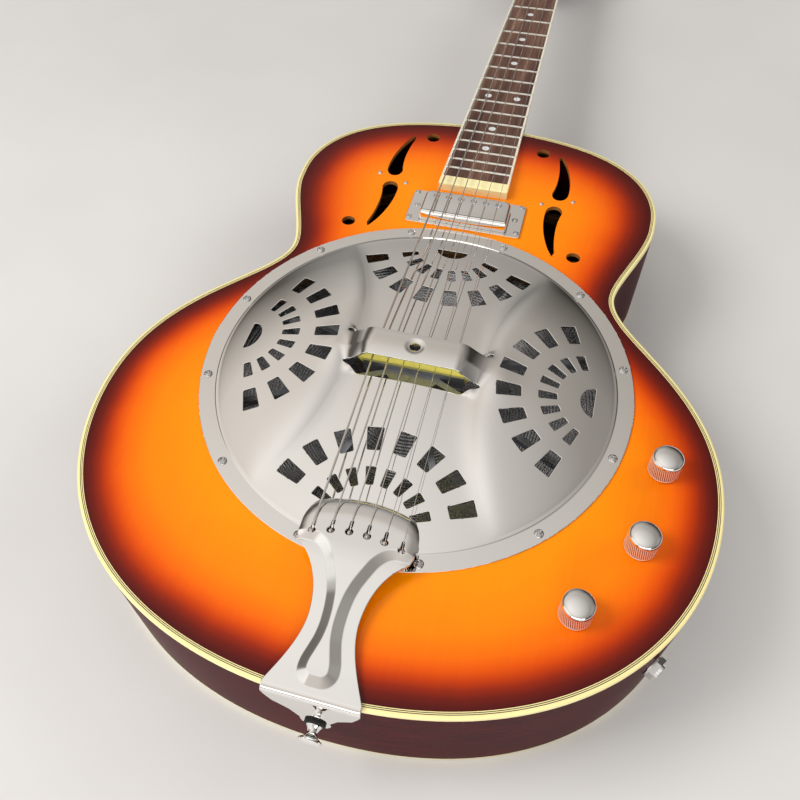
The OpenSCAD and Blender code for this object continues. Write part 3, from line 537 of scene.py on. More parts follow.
def sheet(name, loops, place, thick, mats, step, grid, extra=None, skip=None, edge=0.0, attribute=None,
          folds=(), **kw):
    """A sheet of even thickness over a plan with holes. place maps plan points to the sheet's outer face.
    Free points fill the plan on an even grid, or come from extra where skip says so. edge rounds the outer
    face over towards each cut. A second material goes on the cut edges. folds are closed lines that the
    mesh's edges follow."""
    loops = [np.asarray(l, float) for l in loops]
    loops = [l if (area(l) > 0) == (k == 0) else l[::-1] for k, l in enumerate(loops)]
    loops = [resample(l, step) for l in loops]
    lo, hi = loops[0].min(0), loops[0].max(0)
    rows = np.arange(lo[1] + grid * 0.3, hi[1], grid * 0.866)
    pts = np.array([(x + (grid / 2 if j % 2 else 0), y) for j, y in enumerate(rows)
                    for x in np.arange(lo[0] + grid * 0.3, hi[0], grid)])
    gap = np.full(len(pts), 0.42 * grid)
    if skip is not None:
        pts, gap = pts[~skip(pts)], gap[~skip(pts)]
    if extra is not None:
        pts, gap = np.vstack([pts, extra]), np.concatenate([gap, np.full(len(extra), 0.5)])
    bound = np.vstack(loops)
    if edge:
        rim = np.vstack([l + edge * left_of(unit(ahead(l) - np.roll(l, 1, axis=0))) for l in loops])
        pts = np.vstack([pts, rim])
        gap = np.concatenate([np.maximum(gap, edge * 1.8), np.full(len(rim), edge * 0.8)])

    def within(p):
        ok = inside(p, loops[0])
        for l in loops[1:]:
            ok &= ~inside(p, l)
        return ok

    pts = pts[within(pts) & (np.min([distance(pts, l) for l in loops], axis=0) > gap)]
    edges = ring_edges(loops, 0) + ring_edges(folds, len(bound) + len(pts))
    plan = np.vstack([bound, pts, *folds])
    v2, _, tris, *_ = delaunay_2d_cdt([Vector(p) for p in plan], edges, [], 0, 1e-5)
    v2 = np.array([tuple(v) for v in v2])
    tris = np.array([tuple(t) for t in tris])
    tris = tris[within(v2[tris].mean(1))]
    a, b, c = (v2[tris[:, k]] for k in range(3))
    turn = (b[:, 0] - a[:, 0]) * (c[:, 1] - a[:, 1]) - (b[:, 1] - a[:, 1]) * (c[:, 0] - a[:, 0])
    tris[turn < 0] = tris[turn < 0][:, ::-1]
    used, tris = np.unique(tris, return_inverse=True)
    tris = tris.reshape(-1, 3)
    v2 = v2[used]
    e = 0.05
    top = place(v2)
    nrm = unit(np.cross(place(v2 + [e, 0]) - place(v2 - [e, 0]), place(v2 + [0, e]) - place(v2 - [0, e])))
    count = {}
    for t in tris:
        for i in range(3):
            key = (t[i], t[(i + 1) % 3])
            count[key] = count.get(key, 0) + 1
    cuts = [k for k in count if (k[1], k[0]) not in count]
    low = top - nrm * thick
    wall, out = {}, {}
    for i, j in cuts:
        wall[(i, j)] = w = unit(np.cross(top[j] - top[i], nrm[i]))
        out.setdefault(i, []).append(w)
        out.setdefault(j, []).append(w)
    tilted = nrm.copy()
    if edge:
        for i, ws in out.items():
            tilted[i] = unit(nrm[i] + EDGE_TILT * unit(np.sum(ws, axis=0)))
            top[i] = top[i] - nrm[i] * edge * 0.6
    n = len(v2)
    verts = np.vstack([top, low])
    faces = [tuple(t) for t in tris] + [tuple(n + k for k in t[::-1]) for t in tris]
    normals = [tilted[k] for t in tris for k in t] + [-nrm[k] for t in tris for k in t[::-1]]
    face_mat = [0] * (2 * len(tris)) + [0 if isinstance(mats, str) else 1] * len(cuts)

    def soft(i, w):
        return unit(np.sum([x for x in out[i] if x @ w > 0.8], axis=0))

    for i, j in cuts:
        faces.append((j, i, n + i, n + j))
        wi, wj = soft(i, wall[(i, j)]), soft(j, wall[(i, j)])
        normals += [wj, wi, wi, wj]
    ob = mesh_object(name, verts, faces, mats, face_mat=face_mat, **kw)
    ob.data.normals_split_custom_set([tuple(x) for x in normals])
    if attribute:
        label, value = attribute
        point_values(ob, label, np.tile(value(v2), 2))
    return ob


def flat(z):
    return lambda p: np.column_stack([p, np.full(len(p), z)])


# ---------------------------------------------------------------- body

def horn():
    t = np.arange(14) / 14
    return np.vstack([cubic(c, t) for c in ([[63.3, 256.6], [70, 247], [76, 226], [75, 209]],
                                            [[75, 209], [75, 196.5], [62, 196.5], [62, 207]],
                                            [[62, 207], [66, 222], [64.5, 240], [60.9, 256.3]])])


F_TURN = np.array([135.0, 391.0])  # twice the point that the lower part mirrors the upper one in


def f_holes():
    up = horn()
    half = [up, F_TURN - up, circle(47.5, 257, 5.5, 36), circle(87.7, 136.5, 5.2, 36)]
    return half + [(l * [-1, 1])[::-1] for l in half]


WELL_R = 134.0
KNOB_NODES = ["volume_knob", "tone_knob", "blend_knob"]
knob_centre = [(box_mm(n)[0] + box_mm(n)[1]) / 2 for n in KNOB_NODES]
pickup_loop = rounded([[-36, 147], [36, 147], [36, 160.5], [42, 160.5], [42, 169.5], [36, 169.5], [36, 178],
                       [-36, 178], [-36, 169.5], [-42, 169.5], [-42, 160.5], [-36, 160.5]], 1.0)
edge_line = outline(0.0)


def burst_reach(y):
    """The dark edge of the sunburst reaches further in over the upper bout."""
    return 1 + 0.5 * np.clip((y - 60) / 180, 0, 1)


BIND, LINE, PAIR, FRAME = 2.0, 0.45, 0.9, 3.8  # binding, dark line, dark and cream line, all of the edging
INLAY = TOP - 1.5
sheet("top_plate", [outline(FRAME), circle(0, 0, WELL_R, 160)] + f_holes() + [pickup_loop] +
      [circle(c[0], c[1], 4.8, 24) for c in knob_centre],
      flat(TOP), TOP - UNDER_TOP, ["sunburst", "ply"], step=3.0, grid=7.0, edge=0.35,
      attribute=("edge_mm", lambda p: distance(p, edge_line) / burst_reach(p[:, 1])), replaces="top")

band("top_binding", [(0, UNDER_TOP), (0, TOP - 1.1), (0.12, TOP - 0.55), (0.5, TOP - 0.14), (1.1, TOP),
                     (BIND, TOP), (BIND, UNDER_TOP)], "cream", replaces="binding")
for k, (d0, d1) in enumerate([(BIND + LINE, BIND + PAIR), (BIND + PAIR + LINE, FRAME)]):
    band(f"cream_line_{k}", [(d0, INLAY), (d0, TOP), (d1, TOP), (d1, INLAY)], "cream")
for k, d0 in enumerate([BIND, BIND + PAIR]):
    band(f"dark_line_{k}", [(d0, INLAY), (d0, TOP), (d0 + LINE, TOP), (d0 + LINE, INLAY)], "line",
         replaces="purfling")
SIDE = 2.8
band("rim_shell", [(0, 2.2), (0, UNDER_TOP), (SIDE, UNDER_TOP), (SIDE, 2.2)], "burgundy", replaces="rim")
band("back_line", [(0.5, 0.12), (0.12, 0.55), (0, 1.1), (0, 2.2), (1.6, 2.2), (1.6, 0), (1.1, 0)], "cream",
     replaces="back_binding")
sheet("back_plate", [outline(1.6)], flat(3.5), 3.5, "burgundy", step=6, grid=16, replaces="back")

# ---------------------------------------------------------------- resonator

def smooth(x, a, b):
    t = np.clip((x - a) / (b - a), 0, 1)
    return t * t * (3 - 2 * t)


def slope(x, a, b, bend=0.14):
    """A straight slope from 0 at a to 1 at b, with a bend of that share at each end."""
    t = np.linspace(0, 1, 81)
    grade = np.minimum(np.minimum(t, 1 - t) / bend, 1.0)
    height = np.concatenate([[0], np.cumsum((grade[:-1] + grade[1:]) / 2)])
    return np.interp((x - a) / (b - a), t, height / height[-1])


RIM_T = 1.2
BOWL_R = 131.5
LIFT = PALM_Z - TOP
FAN_Y = 120.4
SCREW_R = 138


def crease_x(y):
    """The fold between the raised sides and the sunken ends of the plate."""
    return 44 + 13 * (np.maximum(np.abs(y) - 15, 0) / 62) ** 2


def dome(p):
    """Height of the cover plate's outer face over the top."""
    x, y = np.abs(p[:, 0]), p[:, 1]
    r = np.hypot(x, y)
    sector = np.tanh((x - crease_x(y)) / 7.5)
    swell = np.sin(np.pi * np.clip((r - 14) / 116, 0, 1)) ** 0.8
    body = 15 - 13.3 * (r / BOWL_R) ** 2.2 + np.where(sector > 0, 2.6, 2.0) * sector * swell
    body += 2.2 * np.exp(-((x - 52) / 13) ** 2 - (y / 18) ** 2)
    z = np.where(r < BOWL_R, body, RIM_T + 0.5 * smooth(r, 132.6, BOWL_R))
    # the palm rest rises between the two slits, and its feet spread out beyond their ends
    near = np.interp(x, [0, 34, 38, 44], [-19.4, -19.4, -20.5, -24])
    width = np.interp(x, [0, 42, 47, 52], [3.1, 3.1, 9, 14])
    mask = np.where(y > 0, 1 - smooth(y, 10.4, 10.4 + width), smooth(y, near, -11.8))
    rise = slope(x, np.interp(y, [-12, -2, 10], [46.5, 52.0, 54.0]), 27.5, 0.3)
    crown = LIFT - 0.9 * (np.clip(y + 0.8, -11.2, 11.2) / 11.2) ** 2 - 1.1 * smooth(r, 7.4, 3.4)
    return z + mask * rise * (crown - z)


def fan(k):
    """The slots and the D-shaped hole of one fan, turned k quarters."""
    loops, wide = [], radians(4.6)
    for i in range(8):
        a = radians(-155 + 130 * i / 7)
        for r0, r1 in ((27, 39), (50, 66)):
            q = [(r * cos(a + s), r * sin(a + s))
                 for r, s in ((r0, -wide), (r1, -wide), (r1, wide), (r0, wide))]
            loops.append(rounded(q, 0.9, 3) + [0, FAN_Y])
    arc = np.linspace(0.15, pi - 0.15, 12)
    d = [(11.5, 117.5)] + [(11.5 * cos(t), 117.5 - 9 * sin(t)) for t in arc] + [(-11.5, 117.5)]
    loops.append(rounded(d, 1.0, 3))
    c, s = round(cos(k * pi / 2)), round(sin(k * pi / 2))
    return [l @ np.array([[c, s], [-s, c]]) for l in loops]


screw_at = [(SCREW_R * sin(a), SCREW_R * cos(a)) for a in np.radians(np.arange(15, 360, 30))]
north = rounded([(-45, 10.6), (45, 10.6), (49.2, 12.2), (49.2, 14.8), (46.4, 15.2), (43.5, 13.4),
                 (-43.5, 13.4), (-46.4, 15.2), (-49.2, 14.8), (-49.2, 12.2)], 0.9, 3)
tail_slot = rounded([(-44, -11.0), (-45.8, -12.6), (-34.5, -19.5), (34.5, -19.5), (45.8, -12.6), (44, -11.0),
                     (33, -12.1), (-33, -12.1)], 1.5, 4)
# points along the creases, on the palm rest's flanks and round its access hole, finer than the even grid
creases = []
for side in (-1, 1):
    for off in (-15, -12, -9.5, -7.5, -5.5, -3.7, -2, -0.6, 0.6, 2, 3.7, 5.5, 7.5, 9.5, 12, 15):
        cy = np.concatenate([np.arange(-122, -29, 2.6), np.arange(25, 123, 2.6)])
        creases.append(np.column_stack([side * (crease_x(cy) + off), cy]))
    for k, cx in enumerate(np.arange(25.5, 57.5, 1.6)):
        cy = np.arange(-27.5, 23.5, 1.7) + (0.85 if k % 2 else 0)
        creases.append(np.column_stack([np.full(len(cy), side * cx), cy]))
creases += [circle(0, 0, r, 28) for r in (4.4, 5.2, 6.0, 6.8, 7.6)]
creases = np.vstack(creases)
creases = creases[np.hypot(creases[:, 0], creases[:, 1]) < 126.5]


def fine_zone(p):
    """Where the plate's own rows of points replace the even grid."""
    r, x, y = np.hypot(p[:, 0], p[:, 1]), np.abs(p[:, 0]), p[:, 1]
    ring = (r > 127.3) & (r < 137.5)
    fold = (np.abs(x - crease_x(y)) < 16.5) & (np.abs(y) > 24.5) & (r < 127.3)
    return ring | fold | (r < 8.6) | ((x > 24.5) & (x < 58) & (y > -29) & (y < 24.5))


rings = [circle(0, 0, r, 300) for r in (128.4, 129.6, 130.6, 131.2, 131.6, 132.0, 132.4, 132.8, 133.8, 135.0)]
sheet("cover_sheet", [circle(0, 0, COVER_R - 0.01, 300)] + [l for k in range(4) for l in fan(k)] +
      [north, tail_slot] + [circle(x, y, 1.8, 16) for x, y in screw_at] + [circle(0, 0, 3.5, 28)],
      lambda p: np.column_stack([p, TOP + dome(p)]), RIM_T - 0.02, "sheet", step=2.0, grid=3.2,
      extra=creases, folds=rings, skip=fine_zone, edge=0.4, replaces="coverplate")


def cone_z(r):
    if r < 62:
        return TOP - 10 - 29 * sin(pi / 2 * r / 62) ** 1.15
    return TOP - 39 + 22 * ((r - 62) / 64) ** 1.25


cone_r = np.linspace(1.7, 126, 250)
outer = [(r, cone_z(r) + 0.6 + 0.16 * sin(r * 3.1)) for r in cone_r]
inner = [(r, cone_z(r)) for r in cone_r[::-6]]
lathe("cone", outer + [(128, TOP - 15.4), (133.4, TOP - 15.4), (133.4, TOP - 16), (127.5, TOP - 16)] + inner,
      "spun", steps=144, replaces="resonator_cone")

# ---------------------------------------------------------------- tailpiece

strap_lo, strap_hi = box_mm("strap_washer")
TAB_Y = strap_hi[1]
STRAP_Z = (strap_lo[2] + strap_hi[2]) / 2
EMBOSS, FLANK = 3.3, 6.6
LIP_BOW, LIP_HALF = 6.5, 31.5
SMOOTHING = 4


def side_curve():
    """Side view of the tailpiece's flat flange, under the raised tongue, as (y, z) points."""
    reach = 16 - EMBOSS
    pts = [(-106 - EMBOSS, TOP + 6.4)]
    pts += [(-122 + reach * cos(a), TOP + 7.2 + 4.2 * sin(a)) for a in np.radians(np.arange(0, 91, 5))]
    ys = [TAB_Y + 4.1, -216, -205, -182, -158, -146, -139.5, -122]
    zs = [2.6, 2.65, 3.3, 5.9, 9.4, 11.0, 11.4, 11.4]
    run = np.linspace(-123, TAB_Y + 4.1, 90)
    z = TOP + np.interp(run, ys, zs)
    for _ in range(6):
        z[1:-1] = (z[:-2] + 2 * z[1:-1] + z[2:]) / 4
    pts += list(zip(run, z))
    bend = np.radians(np.arange(7.5, 91, 7.5))
    pts += [(TAB_Y + 4.1 - 4.1 * sin(a), TOP - 1.6 + 4.2 * cos(a)) for a in bend]
    pts = np.array(pts + [(TAB_Y, STRAP_Z - 12)])
    return np.concatenate([[0], np.cumsum(np.linalg.norm(np.diff(pts, axis=0), axis=1))]), pts


curve_s, curve_p = side_curve()


def at_y(y):
    """Distance along the side curve where it reaches y on the top face."""
    k = (curve_s > 1) & (curve_p[:, 0] > TAB_Y + 3)
    return float(np.interp(-y, -curve_p[k][:, 0], curve_s[k]))


def at_z(z):
    k = curve_p[:, 0] < TAB_Y + 2
    return float(np.interp(-z, -curve_p[k][:, 1], curve_s[k]))


def along(s):
    return np.column_stack([np.interp(s, curve_s, curve_p[:, k]) for k in (0, 1)])


def both_halves(right):
    right = np.array(right)
    return np.vstack([right, (right * [-1, 1])[::-1]])


# the tongue's outer edge in plan; beyond the waist it opens into the whole front bar
tongue = both_halves([(45, -16)] + [(x, at_y(y)) for x, y in (
    (45, -139.6), (30, -138.9), (23.4, -139.2), (19.7, -141.5), (16.1, -145.9), (12.9, -152.6), (10.1, -159),
    (8.3, -165.5), (7.4, -173), (7.2, -181), (8.0, -188), (9.7, -194), (11.5, -200), (12.0, -205),
    (11.1, -209), (8.5, -212.2), (4.8, -214.2))])
tongue = resample(tongue, 1.25)
for _ in range(SMOOTHING):
    tongue = (np.roll(tongue, 1, axis=0) + 2 * tongue + ahead(tongue)) / 4


def tongue_depth(p):
    return np.where(inside(p, tongue), 1, -1) * distance(p, tongue)


inward = left_of(unit(ahead(tongue) - np.roll(tongue, 1, axis=0))) * (1 if area(tongue) > 0 else -1)
flank_rows = []
for off in (-0.7, 0.0, 0.45, 0.95, 1.9, 2.9, 3.9, 4.9, 5.7, 6.2, 6.65, 7.3):
    row = tongue + off * inward
    flank_rows.append(row[np.abs(tongue_depth(row) - off) < 0.3])


def tail_place(p):
    s = np.clip(p[:, 1], 0, curve_s[-1])
    y, z = along(s).T
    n = unit(-left_of(along(s + 0.4) - along(s - 0.4)))
    up = EMBOSS * slope(tongue_depth(p), 0, FLANK)
    y = y - LIP_BOW * (p[:, 0] / LIP_HALF) ** 2 * (1 - smooth(s, at_y(-112), at_y(-146)))
    droop = 3.4 * np.clip((np.abs(p[:, 0]) - 24.5) / 10.5, 0, 1) ** 2.2
    droop *= 1 - smooth(s, at_y(-128), at_y(-144))
    return np.column_stack([-p[:, 0], y + n[:, 0] * up, z + n[:, 1] * up - droop])


def tail_plan():
    right = [(22.0, 0.0), (26.4, 0.7), (29.8, 2.6), (32.2, 5.6), (33.6, 9.6), (34.1, 13.0),
             (34.1, at_y(-128)), (33.7, at_y(-135)), (32.4, at_y(-138.5)), (30.4, at_y(-141.2)),
             (28.2, at_y(-143.2))]
    for waist in ([[28.2, -143.2], [20.8, -150], [14.3, -161], [13.9, -178]],
                  [[13.9, -178], [14.1, -192], [21.5, -205], [26.8, -216]]):
        right += [(x, at_y(y)) for x, y in cubic(waist, np.linspace(0.1, 1, 12))]
    right += [(27.0, at_z(TOP - 2.5)), (26.0, at_z(TOP - 6)), (22.5, at_z(TOP - 14)),
              (14.0, at_z(STRAP_Z + 14))]
    right += [(9 * cos(a), at_z(STRAP_Z + 9 * sin(a))) for a in np.radians([20, 0, -20, -40, -60, -78])]
    return both_halves(right)


def keyhole(x, s):
    a = np.radians(np.linspace(-65, 245, 22))
    ring = [(x + 2.2 * cos(t), s + 2.2 * sin(t)) for t in a]
    slot = [(x - 0.85, s - 6.4), (x - 0.45, s - 7.2), (x + 0.45, s - 7.2), (x + 0.85, s - 6.4)]
    return np.array(ring + slot)


SPREAD = 26.0
string_x = [-SPREAD + 2 * SPREAD / 5 * i for i in range(6)]
ball_y = [-130 - 4.5 * (x / SPREAD) ** 2 for x in string_x]
key_loops = [keyhole(x, at_y(y + LIP_BOW * (x / LIP_HALF) ** 2 * 0.45)) for x, y in zip(string_x, ball_y)]
sheet("tail_sheet", [tail_plan()] + key_loops + [circle(0, at_z(STRAP_Z), 3.0, 24)], tail_place, 1.5,
      "chrome", step=1.5, grid=1.6, edge=0.45, extra=np.vstack(flank_rows),
      skip=lambda p: (tongue_depth(p) > -1.1) & (tongue_depth(p) < 7.6), replaces="tailpiece")

lathe("strap_pin", [(0, 0), (4.3, 0), (4.5, 0.3), (4.3, 0.8), (3.6, 1.6), (3.1, 2.8), (3.0, 4.0), (3.2, 5.2),
                    (4.2, 6.4), (5.6, 7.2), (6.6, 7.8), (6.95, 8.5), (6.8, 9.2), (6.0, 9.9), (4.6, 10.35),
                    (2.6, 10.55), (0, 10.6)], "chrome",
      frame_at((0, strap_lo[1] - 0.02, STRAP_Z), (0, -1, 0)), replaces="strap_button")
lathe("strap_felt", [(2.2, 0), (6.0, 0), (6.2, 0.3), (6.2, 1.2), (6.0, 1.5), (2.2, 1.5)], "rubber",
      frame_at((0, TAB_Y, STRAP_Z), (0, -1, 0)), 48, replaces="strap_washer")

# ---------------------------------------------------------------- strings

HEAD_TILT = radians(14)
HEAD_Y, HEAD_Z = NUT_Y + 5, TOP + 14.7 - 0.0375 * (NUT_Y + 5) - 4.5
POST_X, POST_Y = 26.0, (50.0, 88.0, 126.0)
GAUGE = [0.68, 0.54, 0.42, 0.3, 0.22, 0.17]
NUT_SPREAD, NUT_PITCH = 17.5, 7
TURNS = 2.2

head_frame = np.array([[1, 0, 0, 0], [0, cos(HEAD_TILT), sin(HEAD_TILT), HEAD_Y],
                       [0, -sin(HEAD_TILT), cos(HEAD_TILT), HEAD_Z], [0, 0, 0, 1.0]])


def string_path(i, r):
    """A bass-side string from its ball end to its coils on the post, i counted from the outside."""
    nx, py, x = -NUT_SPREAD + NUT_PITCH * i, POST_Y[i], string_x[i]
    big = 3 + r + 0.06
    lean = atan2(nx + POST_X, py) - asin(big / hypot(nx + POST_X, py))
    turn = TURNS * np.arange(61) / 60
    a = lean + 2 * pi * turn
    coil = np.column_stack([-POST_X + big * np.cos(a), py + big * np.sin(a), 9 - (2 * r + 0.12) * turn])
    zs = TOP + 19.5 - 0.0425 * NUT_Y
    over = TOP + 11.45 + EMBOSS + r
    lead = [[x, ball_y[i] + 1.2, TOP + 12.0], [x, ball_y[i] + 3.0, over - 1.0], [x, ball_y[i] + 5.2, over],
            [x, ball_y[i] + 7.4, over + 0.3], [x, -60, TOP + 16.9 + r], [x, -3.2, SADDLE_Z + r],
            [x, 0, SADDLE_Z + r + 0.02], [x, 3.2, SADDLE_Z + r]]
    run = np.linspace(0.03, 0.995, 24)[:, None]
    a0, a1 = np.array([x, 3.2, SADDLE_Z + r]), np.array([nx, NUT_Y, zs + r + 0.03])
    over_nut = [[nx, NUT_Y + 1, zs + r + 0.02], [nx, NUT_Y + 4, zs + r - 0.05]]
    return np.vstack([lead, a0 + (a1 - a0) * run, over_nut, moved(coil, head_frame)])


for i, r in enumerate(GAUGE):
    path = string_path(min(i, 5 - i), r) * [1 if i < 3 else -1, 1, 1]
    tube(f"string_{i + 1}", path, r, "wound" if i < 4 else "plain", replaces="strings")

ball = [(1.25 + 0.65 * cos(t), 0.95 * sin(t)) for t in np.linspace(0, 2 * pi, 9)[:-1]]
for i, (x, y) in enumerate(zip(string_x, ball_y)):
    lathe(f"ball_end_{i + 1}", ball, "steel", frame_at((x, y, TOP + 12.6), (1, 0.0, 0.25)), 28,
          replaces="string_ball_ends")

# ---------------------------------------------------------------- pickup

plate_lo, plate_hi = box_mm("pickup_plate")
plate_loop = rounded([(plate_lo[0], plate_lo[1]), (plate_hi[0], plate_lo[1]), (plate_hi[0], plate_hi[1]),
                      (plate_lo[0], plate_hi[1])], 3.2, 6)
bezel_at = [(x, y) for x in (-42, 42) for y in (150.5, 181)] + [(-38.7, 165), (38.7, 165)]
cov_lo, cov_hi = box_mm("pickup_cover")
pole_lo, pole_hi = box_mm("pickup_pole_screws")
pole_y, pole_z = (pole_lo[1] + pole_hi[1]) / 2, pole_hi[2]
POLE_PITCH = 9.8
cov_in = rounded([(-34.2, cov_lo[1] - 0.2), (34.2, cov_lo[1] - 0.2), (34.2, cov_hi[1] - 3.0),
                  (31.0, cov_hi[1] + 0.2), (-31.0, cov_hi[1] + 0.2), (-34.2, cov_hi[1] - 3.0)], 1.2, 4)
sheet("pickup_bezel", [plate_loop, cov_in] + [circle(x, y, 1.3, 14) for x, y in bezel_at],
      flat(plate_hi[2]), 1.98, "chrome", step=2, grid=5, edge=0.45, replaces="pickup_plate")
cov_loop = rounded([(-34, cov_lo[1]), (34, cov_lo[1]), (34, cov_hi[1] - 3.4), (30.6, cov_hi[1]),
                    (-30.6, cov_hi[1]), (-34, cov_hi[1] - 3.4)], 1.8, 5)
slab("pickup_shell", cov_loop, TOP - 3.9, cov_hi[2], "chrome", bevel=2.4, segments=7, replaces="pickup_cover")


def cross_head(name, r, h, mat, place, **kw):
    """A domed screw head with a cross recess pressed into it."""
    n, rows, depth = 48, [0.2, 0.42, 0.6, 0.78, 0.9, 0.97, 1.0], 0.45
    verts = [[0, 0, h - depth * h]]
    for q in rows:
        for k in range(n):
            a = 2 * pi * k / n
            x, y = q * r * cos(a), q * r * sin(a)
            z = h * sqrt(max(0.0, 1 - (0.96 * q) ** 2))
            arm = min(abs(x), abs(y)) < 0.16 * r and max(abs(x), abs(y)) < 0.62 * r
            verts.append([x, y, z - (depth * h if arm else 0)])
    rim = len(verts)
    verts += [[r * cos(2 * pi * k / n), r * sin(2 * pi * k / n), 0] for k in range(n)]
    faces = [(0, 1 + k, 1 + (k + 1) % n) for k in range(n)]
    for a in range(1, rim, n):
        faces += [(a + k, a + n + k, a + n + (k + 1) % n, a + (k + 1) % n) for k in range(n)]
    faces.append(tuple(rim + k for k in range(n))[::-1])
    return mesh_object(name, moved(np.array(verts), place), faces, mat, angle=28, **kw)


def upright(x, y, z, turn=0.0):
    c, s = cos(turn), sin(turn)
    return np.array([[c, -s, 0, x], [s, c, 0, y], [0, 0, 1, z], [0, 0, 0, 1.0]])


for k, (x, y) in enumerate(screw_at):
    cross_head(f"cover_screw_{k + 1}", 2.9, 1.45, "steel", upright(x, y, TOP + RIM_T, 0.7 * k),
               replaces="coverplate_screws")
for k, (x, y) in enumerate(bezel_at):
    cross_head(f"pickup_screw_{k + 1}", 2.1 if k < 4 else 2.3, 1.1, "steel",
               upright(x, y, plate_hi[2], 0.5 * k), replaces="pickup_screws")

pole = [(0, -2.4), (2.4, -2.4), (2.4, -0.25), (2.25, -0.02), (2.0, -0.3), (0.6, -0.85), (0, -0.9)]
for k in range(6):
    lathe(f"pole_screw_{k + 1}", pole, "steel", upright(POLE_PITCH * (k - 2.5), pole_y, pole_z), 32,
          replaces="pickup_pole_screws")

# ---------------------------------------------------------------- controls

def knob(node):
    """A domed knob whose grip has slanting grooves pressed into it."""
    lo, hi = box_mm(node)
    c, r = (lo + hi) / 2, (hi[0] - lo[0]) / 2
    z0, z1 = TOP + 0.7, hi[2]
    edge = z1 - 4.0
    steps, waves, slant, groove = 288, 24, 0.4, 0.5
    sides = np.linspace(z0 + 1.2, edge - 0.5, 34)

    def knurl(rr, z, k):
        if rr < r - 0.3 or not z0 + 1.1 < z < edge - 0.4:
            return 0.0
        return -groove * (1 - abs(sin(waves * 2 * pi * k / steps + slant * (z - z0))))

    def out_from_axis(p):
        return hypot(p[0] / MM - c[0], p[1] / MM - c[1])

    prof = [(0, z0 + 4), (7.4, z0 + 4), (7.4, z0), (r - 0.5, z0), (r - 0.1, z0 + 0.3), (r - 0.05, z0 + 0.9)]
    prof += [(r - 0.12, z) for z in sides]
    prof += [(r, edge), (r, edge + 0.5), (r - 0.25, edge + 0.9)]
    prof += [(r * cos(t) * 0.975, edge + 0.9 + 3.1 * sin(t)) for t in np.radians(np.arange(8, 90, 8))]
    prof += [(0, z1)]
    ob = lathe(node + "_cap", prof, ["chrome", "knurl"], upright(c[0], c[1], 0), steps, wave=knurl, body=node,
               replaces=node, angle=50)
    for f in ob.data.polygons:
        f.material_index = int(out_from_axis(f.center) > r - 1.2 and z0 + 1.0 < f.center[2] / MM < edge - 0.3)
    # how deep each point lies in a groove, which the knurl material turns into painted shade
    point_values(ob, "groove_mm", [r - out_from_axis(v.co) for v in ob.data.vertices])


for n in KNOB_NODES:
    knob(n)

# ---------------------------------------------------------------- neck and headstock

def board_z(y):
    return TOP + 14.7 - 0.0375 * y


def board_w(y):
    return 21.0 + (NUT_Y - y) * 0.01543


def neck_depth(y):
    return 18 + 3 * (NUT_Y - y) / (NUT_Y - JOIN) + 54 * max(0.0, 1 - (y - JOIN) / 70) ** 2.4


def neck_shaft():
    """The heel and the D-shaped shaft, which ends inside the headstock."""
    ys = np.concatenate([JOIN + 0.05 + 70 * np.linspace(0, 1, 22) ** 1.4, np.linspace(JOIN + 78, NUT_Y, 26)])
    n = 41
    a = np.radians(np.linspace(180, 0, n))
    rows = [np.column_stack([(board_w(y) - 0.05) * np.cos(a), np.full(n, y),
                             board_z(y) - 5 - neck_depth(y) * np.sin(a)]) for y in ys]
    last = rows[-1]
    end = moved(np.column_stack([20.9 * np.cos(a), np.full(n, 9.0), -0.6 - 13.9 * np.sin(a)]), head_frame)
    rows += [last * (1 - t) + end * t for t in (0.3, 0.65, 1.0)]
    mesh_object("neck_shaft", np.vstack(rows), ring_faces(len(rows), n), "neck", replaces="neck", angle=40)


neck_shaft()


def head_loop():
    side = np.vstack([[[21, 0.2]], cubic([[21.5, 6], [24, 20], [36, 18], [37, 34]], np.linspace(0, 1, 14)),
                      cubic([[34.5, 140], [34, 152], [33, 160], [28, 164]], np.linspace(0, 1, 10)),
                      cubic([[28, 164], [18, 168], [10, 163], [0, 161]], np.linspace(0.1, 1, 12))])
    return np.vstack([side, (side * [-1, 1])[-2::-1]])


slab("headstock", head_loop(), -15, 0, "neck", bevel=1.0, place=head_frame, bottom=True)


def tuner_frame(i):
    s = -1.0 if i < 3 else 1.0
    local = np.array([[s, 0, 0, s * POST_X], [0, 1, 0, POST_Y[i % 3]], [0, 0, 1, 0], [0, 0, 0, 1.0]])
    return head_frame @ local


def button(i):
    """A tuner's button: a flattened, waisted paddle on its collar."""
    node = f"tuner_button_{i + 1}"
    rows, n = [], 40
    a = np.arange(n) * 2 * pi / n
    for x, w, h in [(13.0, 1.6, 1.6), (15.0, 2.5, 2.5), (16.0, 2.6, 2.6), (18.2, 3.4, 3.3), (19.4, 5.6, 3.3),
                    (21, 7.4, 3.2), (23.5, 8.9, 3.1), (26, 9.15, 3.0), (29, 8.7, 3.0), (31.5, 7.4, 3.0),
                    (33.4, 5.4, 2.8), (34.5, 3.2, 2.2), (34.95, 0.8, 0.9)]:
        p = 0.62 if w > 4 else 1.0  # the paddle is squarer than its collar
        yy = w * np.sign(np.cos(a)) * np.abs(np.cos(a)) ** p
        zz = h * np.sign(np.sin(a)) * np.abs(np.sin(a)) ** p
        rows.append(np.column_stack([np.full(n, x), 7.3 + yy, -19 + zz]))
    mesh_object(f"paddle_{i + 1}", moved(np.vstack(rows), tuner_frame(i)), ring_faces(len(rows), n), "chrome",
                body=node, replaces=node, angle=50)


def post(i):
    node = f"string_post_{i + 1}"
    prof = [(0, -17), (3, -17), (3, 3.2), (2.95, 4.0), (2.9, 6), (2.9, 9.5), (3, 10.6), (3, 12.4),
            (2.7, 12.9), (0, 12.95)]
    lathe(f"capstan_{i + 1}", prof, "chrome", tuner_frame(i), 40, body=node, replaces=node)


for make in (button, post):
    for i in range(6):
        make(i)

# ---------------------------------------------------------------- carried-over CAD nodes

